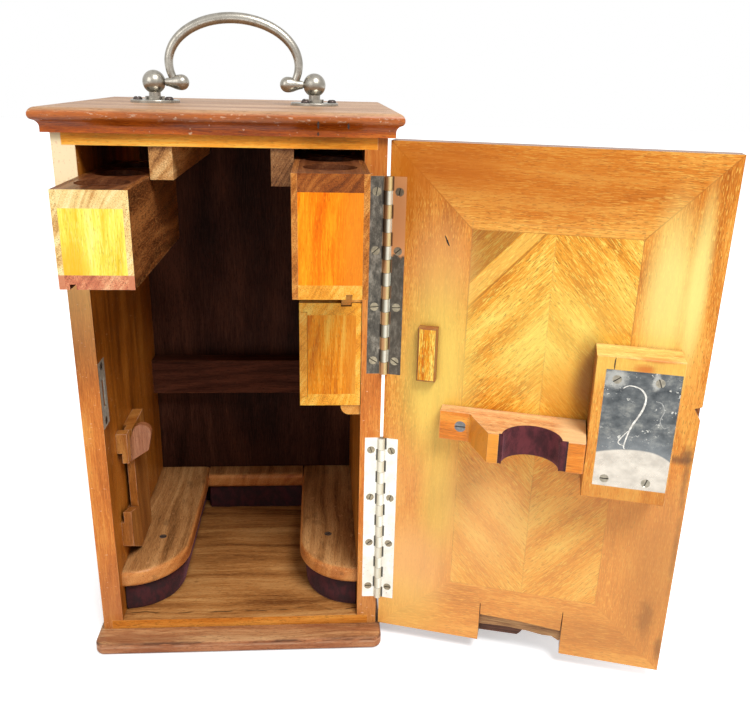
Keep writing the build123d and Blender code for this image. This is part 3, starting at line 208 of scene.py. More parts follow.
class Nodes(Tree):
    """One material, with the place that it colours in the case's or the open door's coordinates."""

    def __init__(self, name, on_door=False):
        self.material = bpy.data.materials.new(name)
        super().__init__(self.material)
        self.shader = self.add("BsdfPrincipled")
        self.output = self.add("OutputMaterial", Surface=self.shader.outputs[0])
        self.place = self.door_point() if on_door else self.object_point()
        self.x, self.y, self.z = self.parts(self.place)

    def far(self, middle, size, deep=1.0):
        """How far the place is from a middle, along and up, in shares of a size."""
        away = self.vector("SUBTRACT", self.place, (middle[0], 0.0, middle[1]))
        return self.vector("LENGTH", self.vector("DIVIDE", away, (size[0], deep, size[1])))

    def spots(self, size, low, high, **look):
        """1 in the spots of a noise, and 0 between them."""
        return self.step(self.noise(self.place, size, **look), low, high)

    def bump(self, height, distance, strength):
        node = self.add("Bump", Height=height, Distance=distance, Strength=strength)
        self.join(self.shader.inputs["Normal"], node.outputs[0])

    def finish(self, colour, roughness, **others):
        self.join(self.shader.inputs["Base Color"], colour)
        self.join(self.shader.inputs["Roughness"], roughness)
        for key, value in others.items():
            self.join(self.shader.inputs[key.replace("_", " ")], value)
        return self.material


# Turns that bring each direction of the grain to X.
GRAINS = {
    "x": (0.0, 0.0, 0.0),
    "y": (0.0, 0.0, -math.pi / 2),
    "z": (0.0, math.pi / 2, 0.0),
}
GRAIN_SLANT = math.radians(-48.0)  # of the facing's centre


def along_grain(g, grain, seed, point=None):
    """Coordinates whose X runs along the grain, shifted so that no two woods are alike."""
    turn = GRAINS[grain] if isinstance(grain, str) else grain
    shift = (0.37 * seed, 0.113 * seed, 0.071 * seed)
    start = g.place if point is None else point
    return g.add("Mapping", Vector=start, Rotation=turn, Location=shift).outputs[0]


def timber(g, point, tones, band=0.01, contrast=1.3, dashes=1.0, pores=0.5):
    """The colour and height of wood: growth bands, fibres, short pale dashes and dark pores."""
    dark, mid, light = tones
    x, y, z = g.parts(point)
    swirl = g.noise(point, (0.16, 0.05, 0.05), detail=1.0)
    wide = g.times(g.minus(swirl, 0.5), 0.03)
    across = g.plus(g.vector("LENGTH", g.together(0.0, g.plus(y, 0.11), z)), wide)
    growth = g.noise(g.together(x, across, 0.0), (0.3, band * 0.6, 1.0), detail=3.0)
    broad = g.noise(point, (0.09, band * 3.0, band * 3.0))
    fibre = g.noise(point, (0.014, 0.0008, 0.0008), detail=3.0, roughness=0.6)
    tone = g.scaled(growth, 0.42, g.times(broad, 0.38))
    tone = g.scaled(fibre, 0.28, tone)
    spread = 0.16 / contrast
    colour = g.ramp(tone, ((0.54 - spread, dark), (0.54, mid), (0.54 + spread, light)))
    pale = g.step(g.noise(point, (0.0048, 0.0004, 0.0004), detail=1.5), 0.56, 0.64)
    bright = tuple(min(1.0, scale * c + 0.01) for scale, c in zip((1.2, 1.3, 1.3), light))
    colour = g.tint(colour, bright, pale, 0.62 * dashes)
    shifted = g.vector("ADD", point, (0.3, 0.2, 0.1))
    pore = g.step(g.noise(shifted, (0.0034, 0.0004, 0.0004), detail=1.0), 0.6, 0.67)
    colour = g.tint(colour, tuple(0.42 * c for c in dark), pore, pores)
    height = g.minus(g.times(fibre, 0.5), g.times(pore, pores))
    return colour, height


def polished(g, colour, height, rough=0.36, polish=0.25, worn=None, wear=0.6, dirt_and_shade=0.5):
    """Finishes a wood: worn edges, dirt and painted shade in the corners, and a thin uneven polish."""
    patches = g.noise(g.object_point(), 0.012, detail=3.0)
    if worn is not None:
        rubbed = g.times(g.edge(0.0009), g.step(patches, 0.35, 0.6))
        colour = g.tint(colour, worn, rubbed, wear)
    # Dirt and painted shade in the corners, found by ambient occlusion.
    colour = g.tint(colour, (0.018, 0.008, 0.004), g.crevice(0.006), dirt_and_shade)
    gloss = g.scaled(patches, 0.22, rough - 0.11)
    g.bump(height, 0.00012, 0.5)
    shine = 0.35 * polish + 0.05
    return g.finish(colour, gloss, Specular_IOR_Level=shine, Coat_Weight=0.4 * polish, Coat_Roughness=0.18)


def wood(name, grain, tones, seed, rough=0.36, polish=0.25, worn=None, wear=0.6, **look):
    """A wood whose grain runs one way."""
    g = Nodes(name)
    colour, height = timber(g, along_grain(g, grain, seed), tones, **look)
    return polished(g, colour, height, rough, polish, worn, wear)


# ---- woods of the carcass
def top_wood():
    """Dusty and bleached on top, and glossy red-brown round the moulding."""
    g = Nodes("top_wood")
    point = along_grain(g, "x", 1)
    upper, height = timber(
        g, point, ((0.29, 0.14, 0.068), (0.45, 0.245, 0.122), (0.62, 0.375, 0.215)), band=0.014, dashes=0.3
    )
    lower, _ = timber(
        g, point, ((0.2, 0.032, 0.002), (0.5, 0.098, 0.006), (0.74, 0.23, 0.022)), dashes=0.25
    )
    bleached = g.step(g.z, ROOF - 0.003, ROOF - 0.0008)
    nose = g.times(g.step(g.z, ROOF - 0.0085, ROOF - 0.0045), g.step(g.z, ROOF - 0.001, ROOF - 0.003))
    specks = g.spots((0.006, 0.003, 0.002), 0.56, 0.68, detail=4.0, roughness=0.7)
    lower = g.tint(lower, (0.38, 0.13, 0.04), nose, 0.45)
    lower = g.tint(lower, (0.62, 0.44, 0.3), nose, specks, 0.7)
    chips = g.spots((0.004, 0.004, 0.0025), 0.69, 0.73)
    lower = g.tint(lower, (0.62, 0.4, 0.24), chips, 0.8)
    colour = g.mix(bleached, lower, upper)
    stain = g.spots((0.07, 0.02, 0.02), 0.52, 0.72, detail=3.0)
    colour = g.tint(colour, (0.3, 0.17, 0.1), stain, bleached, 0.35)
    # Dirt and painted shade in the corners, found by ambient occlusion.
    colour = g.tint(colour, (0.03, 0.014, 0.008), g.crevice(0.006), 0.6)
    gloss = g.scaled(bleached, 0.26, 0.26)
    g.bump(height, 0.00015, 0.5)
    return g.finish(colour, gloss, Specular_IOR_Level=0.25, Coat_Weight=0.12, Coat_Roughness=0.2)


def side_wood(name, side, seed):
    """Red-brown outside, golden brown inside, and orange on the front edge."""
    g = Nodes(name)
    point = along_grain(g, "z", seed)
    outside, height = timber(
        g, point, ((0.12, 0.028, 0.006), (0.27, 0.075, 0.014), (0.44, 0.16, 0.035)), band=0.016
    )
    inside, _ = timber(
        g, point, ((0.17, 0.042, 0.003), (0.42, 0.125, 0.01), (0.62, 0.24, 0.035)), band=0.018, dashes=0.2
    )
    front, _ = timber(
        g, point, ((0.4, 0.095, 0.009), (0.64, 0.185, 0.025), (0.84, 0.36, 0.07)), dashes=0.35, pores=0.3
    )
    reach = g.times(g.x, float(side))
    colour = g.mix(g.step(reach, 0.0999, 0.0998), outside, inside)
    on_edge = g.step(g.y, *FRONT_EDGE)
    colour = g.mix(on_edge, colour, front)
    colour = g.tint(colour, (0.4, 0.15, 0.06), g.step(g.z, 0.1, 0.015), on_edge, 0.45)
    low, tone, amount = (0.19, (0.97, 0.64, 0.24), 0.75) if side < 0 else (0.26, (0.36, 0.075, 0.003), 0.55)
    colour = g.tint(colour, tone, g.step(g.z, low, 0.33), on_edge, amount)
    if side < 0:
        sunlit = g.times(g.step(g.z, 0.3, 0.345), on_edge)
        colour = g.tint(colour, (0.99, 0.87, 0.58), sunlit, 0.75)
        speck = g.spots((0.0015, 0.0015, 0.002), 0.62, 0.7)
        colour = g.tint(colour, (0.8, 0.4, 0.2), speck, sunlit, 0.4)
    scratch = g.spots((0.004, 0.004, 0.0012), 0.7, 0.74)
    colour = g.tint(colour, (0.85, 0.55, 0.34), scratch, 0.7)
    return polished(g, colour, height, 0.36, 0.3, (0.8, 0.42, 0.17), 0.55, 0.6)


def back_wood():
    """Nearly black inside the case, a dark wood with painted shade, and the sides' red-brown behind."""
    g = Nodes("back_wood")
    point = along_grain(g, "z", 25)
    # The inside face's tones are dark wood, darkened further as painted shade.
    colour, height = timber(
        g, point, ((0.014, 0.005, 0.003), (0.045, 0.015, 0.009), (0.1, 0.036, 0.02)), band=0.02, dashes=0.2
    )
    behind, _ = timber(
        g, point, ((0.09, 0.023, 0.006), (0.21, 0.06, 0.014), (0.36, 0.125, 0.032)), band=0.02, dashes=0.5
    )
    colour = g.mix(g.step(g.y, REAR + 0.003, REAR + 0.005), colour, behind)
    return polished(g, colour, height, 0.55, 0.0, dirt_and_shade=0.6)


def plinth_wood():
    """Grey-brown and worn on the ledge, and red-brown round the front."""
    g = Nodes("plinth_wood")
    point = along_grain(g, "x", 4)
    sides, height = timber(
        g, point, ((0.16, 0.046, 0.018), (0.38, 0.135, 0.055), (0.56, 0.26, 0.12)), band=0.006, dashes=0.3
    )
    ledge, _ = timber(
        g, point, ((0.22, 0.085, 0.034), (0.43, 0.195, 0.08), (0.62, 0.36, 0.17)), band=0.007, dashes=0.4
    )
    colour = g.mix(g.step(g.z, 0.0085, 0.01), sides, ledge)
    red = g.spots((0.05, 0.012, 0.01), 0.5, 0.66)
    colour = g.tint(colour, (0.27, 0.085, 0.035), red, 0.5)
    lip = g.times(g.step(g.z, 0.0072, 0.0084), g.step(g.z, 0.0102, 0.009))
    broken = g.spots((0.02, 0.006, 0.004), 0.42, 0.6, detail=3.0)
    colour = g.tint(colour, (0.055, 0.025, 0.015), lip, broken, 0.75)
    rub = g.times(g.step(g.z, 0.0052, 0.0066), g.step(g.z, 0.0082, 0.0072))
    colour = g.tint(colour, (0.6, 0.36, 0.22), rub, broken, 0.5)
    return polished(g, colour, height, 0.42, 0.15, dirt_and_shade=0.6)


def floor_wood():
    """The carcass floor: golden brown, cracked near the front, with an orange front edge."""
    g = Nodes("floor_wood")
    point = along_grain(g, "x", 6)
    colour, height = timber(
        g, point, ((0.16, 0.05, 0.012), (0.42, 0.172, 0.046), (0.62, 0.32, 0.11)), dashes=0.35
    )
    edge, _ = timber(g, point, ((0.34, 0.085, 0.01), (0.62, 0.2, 0.024), (0.8, 0.34, 0.06)), dashes=0.2)
    colour = g.mix(g.step(g.y, *FRONT_EDGE), colour, edge)
    wave = g.scaled(g.noise(g.place, (0.03, 1.0, 1.0)), 0.01, FRONT + 0.003)
    line = g.absolute(g.minus(g.y, wave))
    crack = g.times(g.step(line, 0.0009, 0.0002), g.spots(0.02, 0.42, 0.55))
    colour = g.tint(colour, (0.03, 0.014, 0.008), crack, 0.8)
    return polished(g, colour, height, 0.45, 0.1, (0.62, 0.33, 0.13), 0.5, 0.6)


# ---- woods of the door
def border_figure(g):
    """The facing's border: upright grain in the stiles and level grain above and below."""
    beside = g.most(g.over(PANEL[0], g.x, 0.0526), g.over(g.x, PANEL[1], 0.0474))
    above = g.most(g.over(PANEL[2], g.z, 0.046), g.over(g.z, HEAD_SEAM, 0.051))
    level = g.step(g.minus(above, beside), -0.004, 0.004)
    point = g.between(level, along_grain(g, "z", 8), along_grain(g, "x", 9))
    colour, height = timber(g, point, ((0.4, 0.1, 0.006), (0.72, 0.245, 0.026), (0.93, 0.47, 0.09)))
    seam = g.step(g.absolute(g.minus(above, beside)), 0.016, 0.005)
    joint = g.step(g.most(above, beside), 0.016, 0.004)
    shown = g.scaled(g.step(g.z, 0.12, 0.26), 0.35, 0.08)
    seam = g.times(g.most(seam, joint), shown)
    return g.mix(seam, colour, (0.3, 0.08, 0.008)), height


def mitred_wood():
    g = Nodes("border_veneer", on_door=True)
    colour, height = border_figure(g)
    return door_face(g, colour, height)


def quartered_wood():
    """The facing's centre: four quarters whose slanting grain meets in a diamond."""
    g = Nodes("centre_veneer", on_door=True)
    seam, middle = (PANEL[0] + PANEL[1]) / 2, (PANEL[2] + PANEL[3]) / 2
    beside = g.absolute(g.minus(g.x, seam))
    above = g.absolute(g.minus(g.z, middle))
    folded = g.together(beside, g.y, above)
    side = g.step(g.x, seam - 0.0001, seam + 0.0001)
    half = g.step(g.z, middle - 0.0001, middle + 0.0001)
    apart = g.together(g.times(side, 0.013), 0.0, g.times(half, 0.02))
    folded = g.vector("ADD", folded, apart)
    point = along_grain(g, (0.0, GRAIN_SLANT, 0.0), 3, folded)
    tones = ((0.58, 0.185, 0.01), (0.87, 0.375, 0.035), (0.98, 0.66, 0.13))
    colour, height = timber(g, point, tones, band=0.016, contrast=1.6, pores=0.55)
    far = g.scaled(beside, 0.743, g.times(above, 0.669))
    upper_left = g.times(g.step(g.x, seam + 0.0002, seam - 0.0002), half)
    corner = g.times(g.step(far, 0.098, 0.099), upper_left)
    colour = g.tint(colour, (0.26, 0.095, 0.016), corner, 0.6)
    beyond = g.absolute(g.minus(far, 0.0933))
    band = g.times(g.step(beyond, 0.005, 0.004), upper_left)
    colour = g.tint(colour, (0.96, 0.6, 0.13), band, 0.45)
    near = g.absolute(g.minus(far, 0.0878))
    line = g.times(g.step(near, 0.0009, 0.0003), upper_left)
    colour = g.tint(colour, (0.4, 0.14, 0.015), line, 0.6)
    border, _ = border_figure(g)
    colour = g.mix(g.step(g.z, HEAD_SEAM - 0.0001, HEAD_SEAM + 0.0001), colour, border)
    return door_face(g, colour, height)


PALE = (0.97, 0.73, 0.15)
# Painted highlight: the yellow glare on the door's face.
PAINTED_GLARE = (0.98, 0.84, 0.27)
DEEP = (0.5, 0.13, 0.006)
BROWN = (0.46, 0.19, 0.055)
APRICOT = (0.86, 0.4, 0.12)
PEACH = (0.98, 0.53, 0.2)
# Painted shade: the soft deep-orange fringe of the lock block's shadow.
SHADOW_FRINGE = (0.84, 0.33, 0.02)
# Painted shadow that the lock block casts on the door.
LOCK_BLOCK_SHADOW = (0.26, 0.08, 0.006)
# Places on the door's inner face: middle and reach, each along and up, and strength.
SMUDGES = (
    (0.194, 0.174, 0.012, 0.005, 0.75),
    (0.1985, 0.177, 0.006, 0.01, 0.7),
    (0.199, 0.16, 0.003, 0.03, 0.5),
    (0.189, 0.052, 0.009, 0.022, 0.4),
    (0.2, 0.03, 0.004, 0.016, 0.55),
    (0.2, 0.11, 0.0025, 0.05, 0.35),
)
FACE_TINTS = (
    (0.09, 0.345, 0.14, 0.042, 0.62, DEEP),
    (0.008, 0.335, 0.022, 0.055, 0.6, DEEP),
    (0.038, 0.35, 0.05, 0.024, 0.7, DEEP),
    (0.036, 0.287, 0.03, 0.048, 0.65, APRICOT),
    # Painted highlight: the glare on the facing's centre.
    (0.12, 0.235, 0.06, 0.065, 0.45, PALE),
    (0.036, 0.215, 0.036, 0.095, 0.75, PALE),
    # Painted highlight: the glare on the right of the facing.
    (0.172, 0.275, 0.02, 0.08, 0.75, PAINTED_GLARE),
    (0.188, 0.285, 0.008, 0.075, 0.75, PAINTED_GLARE),
    (0.042, 0.12, 0.02, 0.06, 0.45, PALE),
    (0.025, 0.065, 0.04, 0.05, 0.6, PEACH),
    (0.075, 0.11, 0.045, 0.07, 0.35, PEACH),
    (0.02, 0.03, 0.04, 0.04, 0.25, PALE),
    (0.19, 0.09, 0.03, 0.09, 0.45, BROWN),
    (0.15, 0.03, 0.06, 0.03, 0.3, BROWN),
    # Painted shade: the fringe of the lock block's shadow.
    (0.117, 0.213, 0.024, 0.032, 0.55, SHADOW_FRINGE),
    # Painted shadow, cast by the lock block on the door to its left.
    (0.1335, 0.222, 0.015, 0.042, 0.8, LOCK_BLOCK_SHADOW),
    (0.13, 0.163, 0.02, 0.02, 0.45, BROWN),
)


def door_face(g, colour, height):
    """Fading, stains, a painted glare, the lock block's painted shadow and polish that run over the whole
    inner face of the door.
    """
    colour = g.tint(colour, (0.88, 0.4, 0.13), g.step(g.z, 0.2, 0.13), 0.5)
    for along, up, wide, high, amount, tint in FACE_TINTS:
        patch = g.step(g.far((along, up), (wide, high)), 1.0, 0.2)
        colour = g.tint(colour, tint, patch, amount)
    for along, up, wide, high, amount in SMUDGES:
        ragged = g.times(g.noise(g.place, 0.006, detail=3.0), 0.9)
        smudge = g.step(g.plus(g.far((along, up), (wide, high)), ragged), 1.45, 0.55)
        colour = g.tint(colour, (0.16, 0.075, 0.035), smudge, amount)
    return polished(g, colour, height, 0.34, 0.3, (0.45, 0.2, 0.07), 0.5, 0.55)


def core_wood():
    """The door's body: dusty upper edge, polished outside, and broken wood at the notch."""
    g = Nodes("door_wood", on_door=True)
    point = along_grain(g, "z", 12)
    colour, height = timber(
        g, point, ((0.13, 0.03, 0.006), (0.29, 0.08, 0.014), (0.46, 0.17, 0.035)), band=0.016
    )
    colour = g.tint(colour, (0.215, 0.092, 0.037), g.step(g.z, 0.3625, 0.3627), 0.85)
    beside = (g.step(g.x, NOTCH[0] - 0.001, NOTCH[0]), g.step(g.x, NOTCH[1] + 0.001, NOTCH[1]))
    near = g.times(*beside, g.step(g.z, 0.0365, 0.0345))
    stretched = along_grain(g, "x", 5)
    bare = g.noise(stretched, (0.02, 0.0012, 0.0012), detail=4.0, roughness=0.7)
    fresh = ((0.3, (0.16, 0.065, 0.025)), (0.5, (0.42, 0.22, 0.09)), (0.68, (0.6, 0.36, 0.16)))
    dark = g.ramp(bare, ((0.35, (0.05, 0.018, 0.01)), (0.65, (0.17, 0.065, 0.035))))
    broken = g.mix(g.step(g.y, 0.0062, 0.0078), g.ramp(bare, fresh), dark)
    colour = g.mix(near, colour, broken)
    edge = g.times(g.step(g.y, 0.0138, 0.0132), g.step(g.x, 0.2015, 0.2018))
    colour = g.tint(colour, (0.5, 0.22, 0.07), edge, 0.6)
    return polished(g, colour, height, 0.33, 0.35, (0.5, 0.24, 0.11), 0.45, 0.5)


def block_face_wood():
    """The lock's block: yellow-orange in front, pinkish on top, and darker at the side with painted shade.
    """
    g = Nodes("lock_wood", on_door=True)
    point = along_grain(g, "z", 14)
    colour, height = timber(
        g, point, ((0.46, 0.125, 0.01), (0.78, 0.29, 0.036), (0.95, 0.52, 0.11)), band=0.006
    )
    # The side's darker tones are painted shade on the face turned from the light.
    side, _ = timber(
        g, point, ((0.15, 0.04, 0.004), (0.36, 0.115, 0.015), (0.58, 0.24, 0.05)), band=0.006, pores=0.6
    )
    above, _ = timber(
        g, along_grain(g, "x", 15), ((0.58, 0.25, 0.055), (0.9, 0.52, 0.14), (0.98, 0.72, 0.26))
    )
    colour = g.mix(g.step(g.x, 0.1347, 0.1345), colour, side)
    colour = g.mix(g.step(g.z, 0.2461, 0.2463), colour, above)
    front = g.step(g.x, 0.1345, 0.1347)
    strip = g.times(g.step(g.z, 0.218, 0.24), g.step(g.z, 0.2462, 0.2458), front)
    colour = g.tint(colour, (0.96, 0.62, 0.12), strip, 0.65)
    ragged = g.times(g.noise(g.place, (0.006, 0.006, 0.002), detail=3.0), 0.8)
    colour = g.tint(colour, (0.6, 0.21, 0.04), g.step(g.z, 0.172, 0.158), front, 0.5)
    front = g.times(front, g.step(g.y, -0.0165, -0.0195))
    smears = (((0.162, 0.2405), (0.009, 0.004), 0.75), ((0.168, 0.2462), (0.018, 0.002), 0.6))
    for middle, size, amount in smears:
        smear = g.step(g.plus(g.far(middle, size), ragged), 1.4, 0.6)
        colour = g.tint(colour, (0.62, 0.13, 0.015), smear, front, amount)
    return polished(g, colour, height, 0.34, 0.3, (0.6, 0.3, 0.12), 0.4, 0.6)


def framed_wood(name, tones, seed):
    """The stop block: mottled amber in front, with a brown frame where its edges are broken."""
    g = Nodes(name, on_door=True)
    colour, height = timber(g, along_grain(g, "z", seed), tones, band=0.003, contrast=1.9)
    fleck = g.spots((0.0009, 0.0009, 0.003), 0.5, 0.62)
    colour = g.tint(colour, (0.8, 0.2, 0.005), fleck, 0.5)
    beside = (g.over(STOP[0] + STOP_RIM, g.x, STOP_RIM), g.over(g.x, STOP[1] - STOP_RIM, STOP_RIM))
    above = (g.over(STOP[2] + STOP_RIM, g.z, STOP_RIM), g.over(g.z, STOP[3] - STOP_RIM, STOP_RIM))
    rim = g.most(*beside, *above)
    colour = g.tint(colour, (0.27, 0.095, 0.04), g.step(rim, -0.15, 0.25), 0.85)
    return polished(g, colour, height, 0.36, 0.2, dirt_and_shade=0.5)


def bar_face_wood():
    """The clamping bar: amber in front and pinkish brown on top."""
    g = Nodes("bar_wood", on_door=True)
    point = along_grain(g, "x", 17)
    front, height = timber(
        g, point, ((0.46, 0.11, 0.006), (0.82, 0.24, 0.016), (0.95, 0.43, 0.06)), dashes=0.2, pores=0.3
    )
    above, _ = timber(g, point, ((0.46, 0.18, 0.075), (0.76, 0.37, 0.15), (0.92, 0.58, 0.28)), band=0.006)
    beside_cup = g.times(g.step(g.x, 0.088, 0.08), g.step(g.x, 0.058, 0.064))
    front = g.tint(front, (0.97, 0.43, 0.05), beside_cup, 0.5)
    above = g.tint(above, (0.97, 0.68, 0.34), g.step(g.x, 0.112, 0.122), 0.6)
    colour = g.mix(g.step(g.z, BAR_Z[1] - 0.0004, BAR_Z[1] - 0.0001), front, above)
    return polished(g, colour, height, 0.3, 0.4, (0.85, 0.5, 0.26), 0.5, 0.5)


# ---- woods of the boxes
def front_end(g, front):
    """1 on the front end of a box's board."""
    return g.step(g.y, front + 0.0004, front + 0.0002)


def box_side_wood(name, seed, edge_tones, front, under=None):
    """A box's long boards: dark and coarse outside, and pored end grain in front."""
    g = Nodes(name)
    point = along_grain(g, "y", seed)
    tones = ((0.04, 0.011, 0.003), (0.15, 0.042, 0.01), (0.4, 0.15, 0.04))
    colour, height = timber(g, point, tones, band=0.005, dashes=0.9, pores=0.9)
    freckle = g.spots((0.0012, 0.0024, 0.001), 0.54, 0.64)
    colour = g.tint(colour, (0.42, 0.17, 0.05), freckle, 0.45)
    face, _ = timber(g, point, edge_tones, band=0.004, dashes=0.3, pores=1.0)
    if under is not None:
        level, tone = under
        face = g.tint(face, tone, g.step(g.z, level + 0.0005, level - 0.0005), 0.9)
    colour = g.mix(front_end(g, front), colour, face)
    return polished(g, colour, height, 0.45, 0.1, (0.7, 0.36, 0.15), 0.35, 0.5)


def end_front_wood(name, tones, front_tones, seed, front):
    """A board of a box, one colour along it and another on its front end."""
    g = Nodes(name)
    point = along_grain(g, "y", seed)
    colour, height = timber(g, point, tones, band=0.006, dashes=0.3)
    face, _ = timber(g, point, front_tones, band=0.004, dashes=0.3, pores=0.8, contrast=1.2)
    colour = g.mix(front_end(g, front), colour, face)
    return polished(g, colour, height, 0.36, 0.25, dirt_and_shade=0.6)


def panel_wood(name, tones, seed, fade):
    """A box's front panel, redder in one corner or to one side."""
    g = Nodes(name)
    point = along_grain(g, "z", seed)
    colour, height = timber(g, point, tones, band=0.006, contrast=1.4, dashes=0.5, pores=0.35)
    middle, size, tint, amount = fade
    colour = g.tint(colour, tint, g.step(g.far(middle, size, 100.0), 1.0, 0.3), amount)
    return polished(g, colour, height, 0.36, 0.15, dirt_and_shade=0.8)


# ---- metals and velvet
def metal(name, colour, dull, rough=0.28, tarnish=0.5, patch=0.008, specks=0.3):
    """A plated or plain metal with tarnish in patches, dull specks and fine scratches."""
    g = Nodes(name)
    cloud = g.noise(g.place, patch, detail=5.0, roughness=0.65)
    spots = g.spots(patch * 0.18, 0.58, 0.7, detail=3.0)
    stain = g.times(g.step(cloud, 0.4, 0.66), tarnish)
    stain = g.most(stain, g.times(spots, specks))
    stain = g.most(stain, g.times(g.crevice(0.0012), 0.8))
    shade = g.mix(stain, colour, dull)
    gloss = g.scaled(stain, 0.25, rough)
    g.bump(g.noise(g.place, (0.0012, 0.0012, 0.0003)), 0.00003, 0.3)
    return g.finish(shade, gloss, Metallic=1.0)


def leaf_finish(g, colour, low, on_door, tones, gap_shadow, rough, metallic):
    """Puts the knuckles' colour on a leaf with a painted side tone, a painted shadow in its gaps at the
    other leaf's knuckles, and painted shade in its crevices.
    """
    axis = (0.0, 0.0) if on_door else (AXIS.x, AXIS.y)
    across = g.minus(g.x, axis[0])
    away = g.vector("LENGTH", g.together(across, g.minus(g.y, axis[1]), 0.0))
    knuckle = g.step(away, 0.003, 0.0027)
    share = g.calc("FRACT", g.over(g.z, low, 2.0 * KNUCKLE_PITCH))
    others = g.step(share, 0.515, 0.485) if on_door else g.step(share, 0.485, 0.515)
    colour = g.mix(knuckle, colour, tones[0])
    # Painted light and shade across each knuckle: the second tone lies on its left side.
    colour = g.tint(colour, tones[1], knuckle, g.step(across, 0.0016, -0.001), 0.9)
    # Painted shadow in the leaf's gaps beside the other leaf's knuckles.
    colour = g.tint(colour, gap_shadow, others, g.step(away, 0.0038, 0.0035), 0.9)
    # Painted shade in the crevices, found by ambient occlusion.
    colour = g.tint(colour, (0.02, 0.017, 0.014), g.crevice(0.0012), 0.9)
    return g.finish(colour, rough, Metallic=metallic)


def upper_leaf_metal(name, on_door):
    """Dark mottled slate, with bare copper-brown at the top of the door's leaf."""
    g = Nodes(name, on_door)
    cloud = g.noise(g.place, (0.004, 0.004, 0.008), detail=6.0, roughness=0.75)
    colour = g.ramp(
        cloud, ((0.34, (0.032, 0.029, 0.023)), (0.5, (0.1, 0.087, 0.066)), (0.68, (0.3, 0.265, 0.21)))
    )
    if on_door:
        limit = g.scaled(g.noise(g.place, 0.004, detail=4.0), 0.014, 0.2846)
        copper = g.step(g.minus(g.z, limit), -0.0015, 0.0025)
        colour = g.mix(0.5, colour, (0.045, 0.03, 0.016))
        colour = g.mix(copper, colour, (0.68, 0.3, 0.115))
    g.bump(cloud, 0.00005, 0.4)
    # Each pair is a knuckle's colour and the painted shade on its left side; the gap colour is a painted
    # shadow.
    silver = ((0.7, 0.68, 0.56), (0.085, 0.058, 0.024))
    gold = ((0.68, 0.56, 0.27), (0.36, 0.155, 0.055))
    tones, gap_shadow = (silver, (0.15, 0.07, 0.03)) if on_door else (gold, (0.03, 0.022, 0.014))
    return leaf_finish(g, colour, UPPER_HINGE_Z, on_door, tones, gap_shadow, 0.42, 0.5)


def lower_leaf_metal(name, on_door):
    """Pale creamy plate, with painted shadow in the gaps between the knuckles."""
    g = Nodes(name, on_door)
    cloud = g.noise(g.place, 0.01, detail=4.0)
    colour = g.ramp(cloud, ((0.35, (0.8, 0.77, 0.66)), (0.6, (0.94, 0.93, 0.86))))
    spots = g.spots(0.0015, 0.66, 0.72)
    colour = g.tint(colour, (0.42, 0.36, 0.24), spots, 0.5)
    # Each pair is a knuckle's colour and a painted tone on its left side: painted shade on the door's
    # knuckles, painted light on the case's.
    bright = ((0.88, 0.86, 0.76), (0.58, 0.54, 0.4))
    beige = ((0.6, 0.56, 0.42), (0.76, 0.73, 0.6))
    tones = bright if on_door else beige
    return leaf_finish(g, colour, LOWER_HINGE_Z, on_door, tones, (0.03, 0.025, 0.016), 0.38, 0.45)


def plate_metal():
    """The lock's cover: dark and flecked above, and bright and warm below a curved line; the dark and the
    bright zones are a painted reflection.
    """
    g = Nodes("lock_nickel", on_door=True)
    across = g.over(g.x, 0.1655, 0.024)
    bow = g.times(g.calc("POWER", across, 2.0), -0.0038)
    bow = g.scaled(g.calc("POWER", g.most(across, 0.0), 3.0), -0.0067, bow)
    rise = g.minus(g.z, g.plus(bow, 0.188))
    # The curved line parts the painted reflection: dark above and bright below.
    upper = g.step(rise, -0.0006, 0.0006)
    cloud = g.noise(g.place, (0.009, 0.009, 0.007), detail=6.0, roughness=0.7)
    dark = g.ramp(
        cloud, ((0.34, (0.04, 0.046, 0.05)), (0.52, (0.1, 0.108, 0.11)), (0.72, (0.27, 0.27, 0.245)))
    )
    fleck = g.spots((0.0032, 0.0032, 0.0026), 0.61, 0.68, detail=4.0, roughness=0.7)
    fleck = g.times(fleck, g.spots(0.013, 0.42, 0.58, detail=1.0))
    dark = g.tint(dark, (0.8, 0.78, 0.7), fleck, 0.85)
    # Painted reflection: a lighter grey-blue band just above the line.
    dark = g.tint(dark, (0.26, 0.28, 0.29), g.step(rise, 0.016, 0.0), 0.4)
    bare = g.noise(g.place, 0.003, detail=4.0, roughness=0.7)
    for middle, size in (((0.1465, 0.233), (0.0085, 0.0075)), ((0.17, 0.233), (0.003, 0.007))):
        patch = g.step(g.plus(g.far(middle, size), bare), 1.55, 0.95)
        dark = g.tint(dark, (0.52, 0.51, 0.46), patch, 0.55)
    # Painted reflection: the bright warm lower zone.
    light = g.ramp(cloud, ((0.35, (0.44, 0.4, 0.34)), (0.62, (0.6, 0.55, 0.47))))
    colour = g.mix(upper, light, dark)
    # Painted shade in the crevices, found by ambient occlusion.
    colour = g.tint(colour, (0.03, 0.025, 0.02), g.crevice(0.001), 0.6)
    gloss = g.scaled(fleck, 0.3, 0.26)
    return g.finish(colour, gloss, Metallic=0.6)


def velvet(name, deep, nap, ends=False):
    """Cut velvet: a soft nap that catches the light, brushed one way and another."""
    g = Nodes(name, ends)
    brushed = g.noise(g.place, (0.006, 0.006, 0.01), detail=4.0, roughness=0.6)
    pile = g.noise(g.place, 0.0004)
    colour = g.mix(g.step(brushed, 0.38, 0.66), deep, nap)
    colour = g.tint(colour, nap, g.step(pile, 0.55, 0.72), 0.35)
    if ends:
        out = g.absolute(g.minus(g.x, CUP + 0.001))
        colour = g.tint(colour, (0.02, 0.006, 0.012), g.step(out, 0.0192, 0.0206), 0.8)
    g.bump(pile, 0.0003, 0.6)
    return g.finish(colour, 0.9, Sheen_Weight=0.18, Sheen_Roughness=0.4, Sheen_Tint=(0.8, 0.28, 0.38))


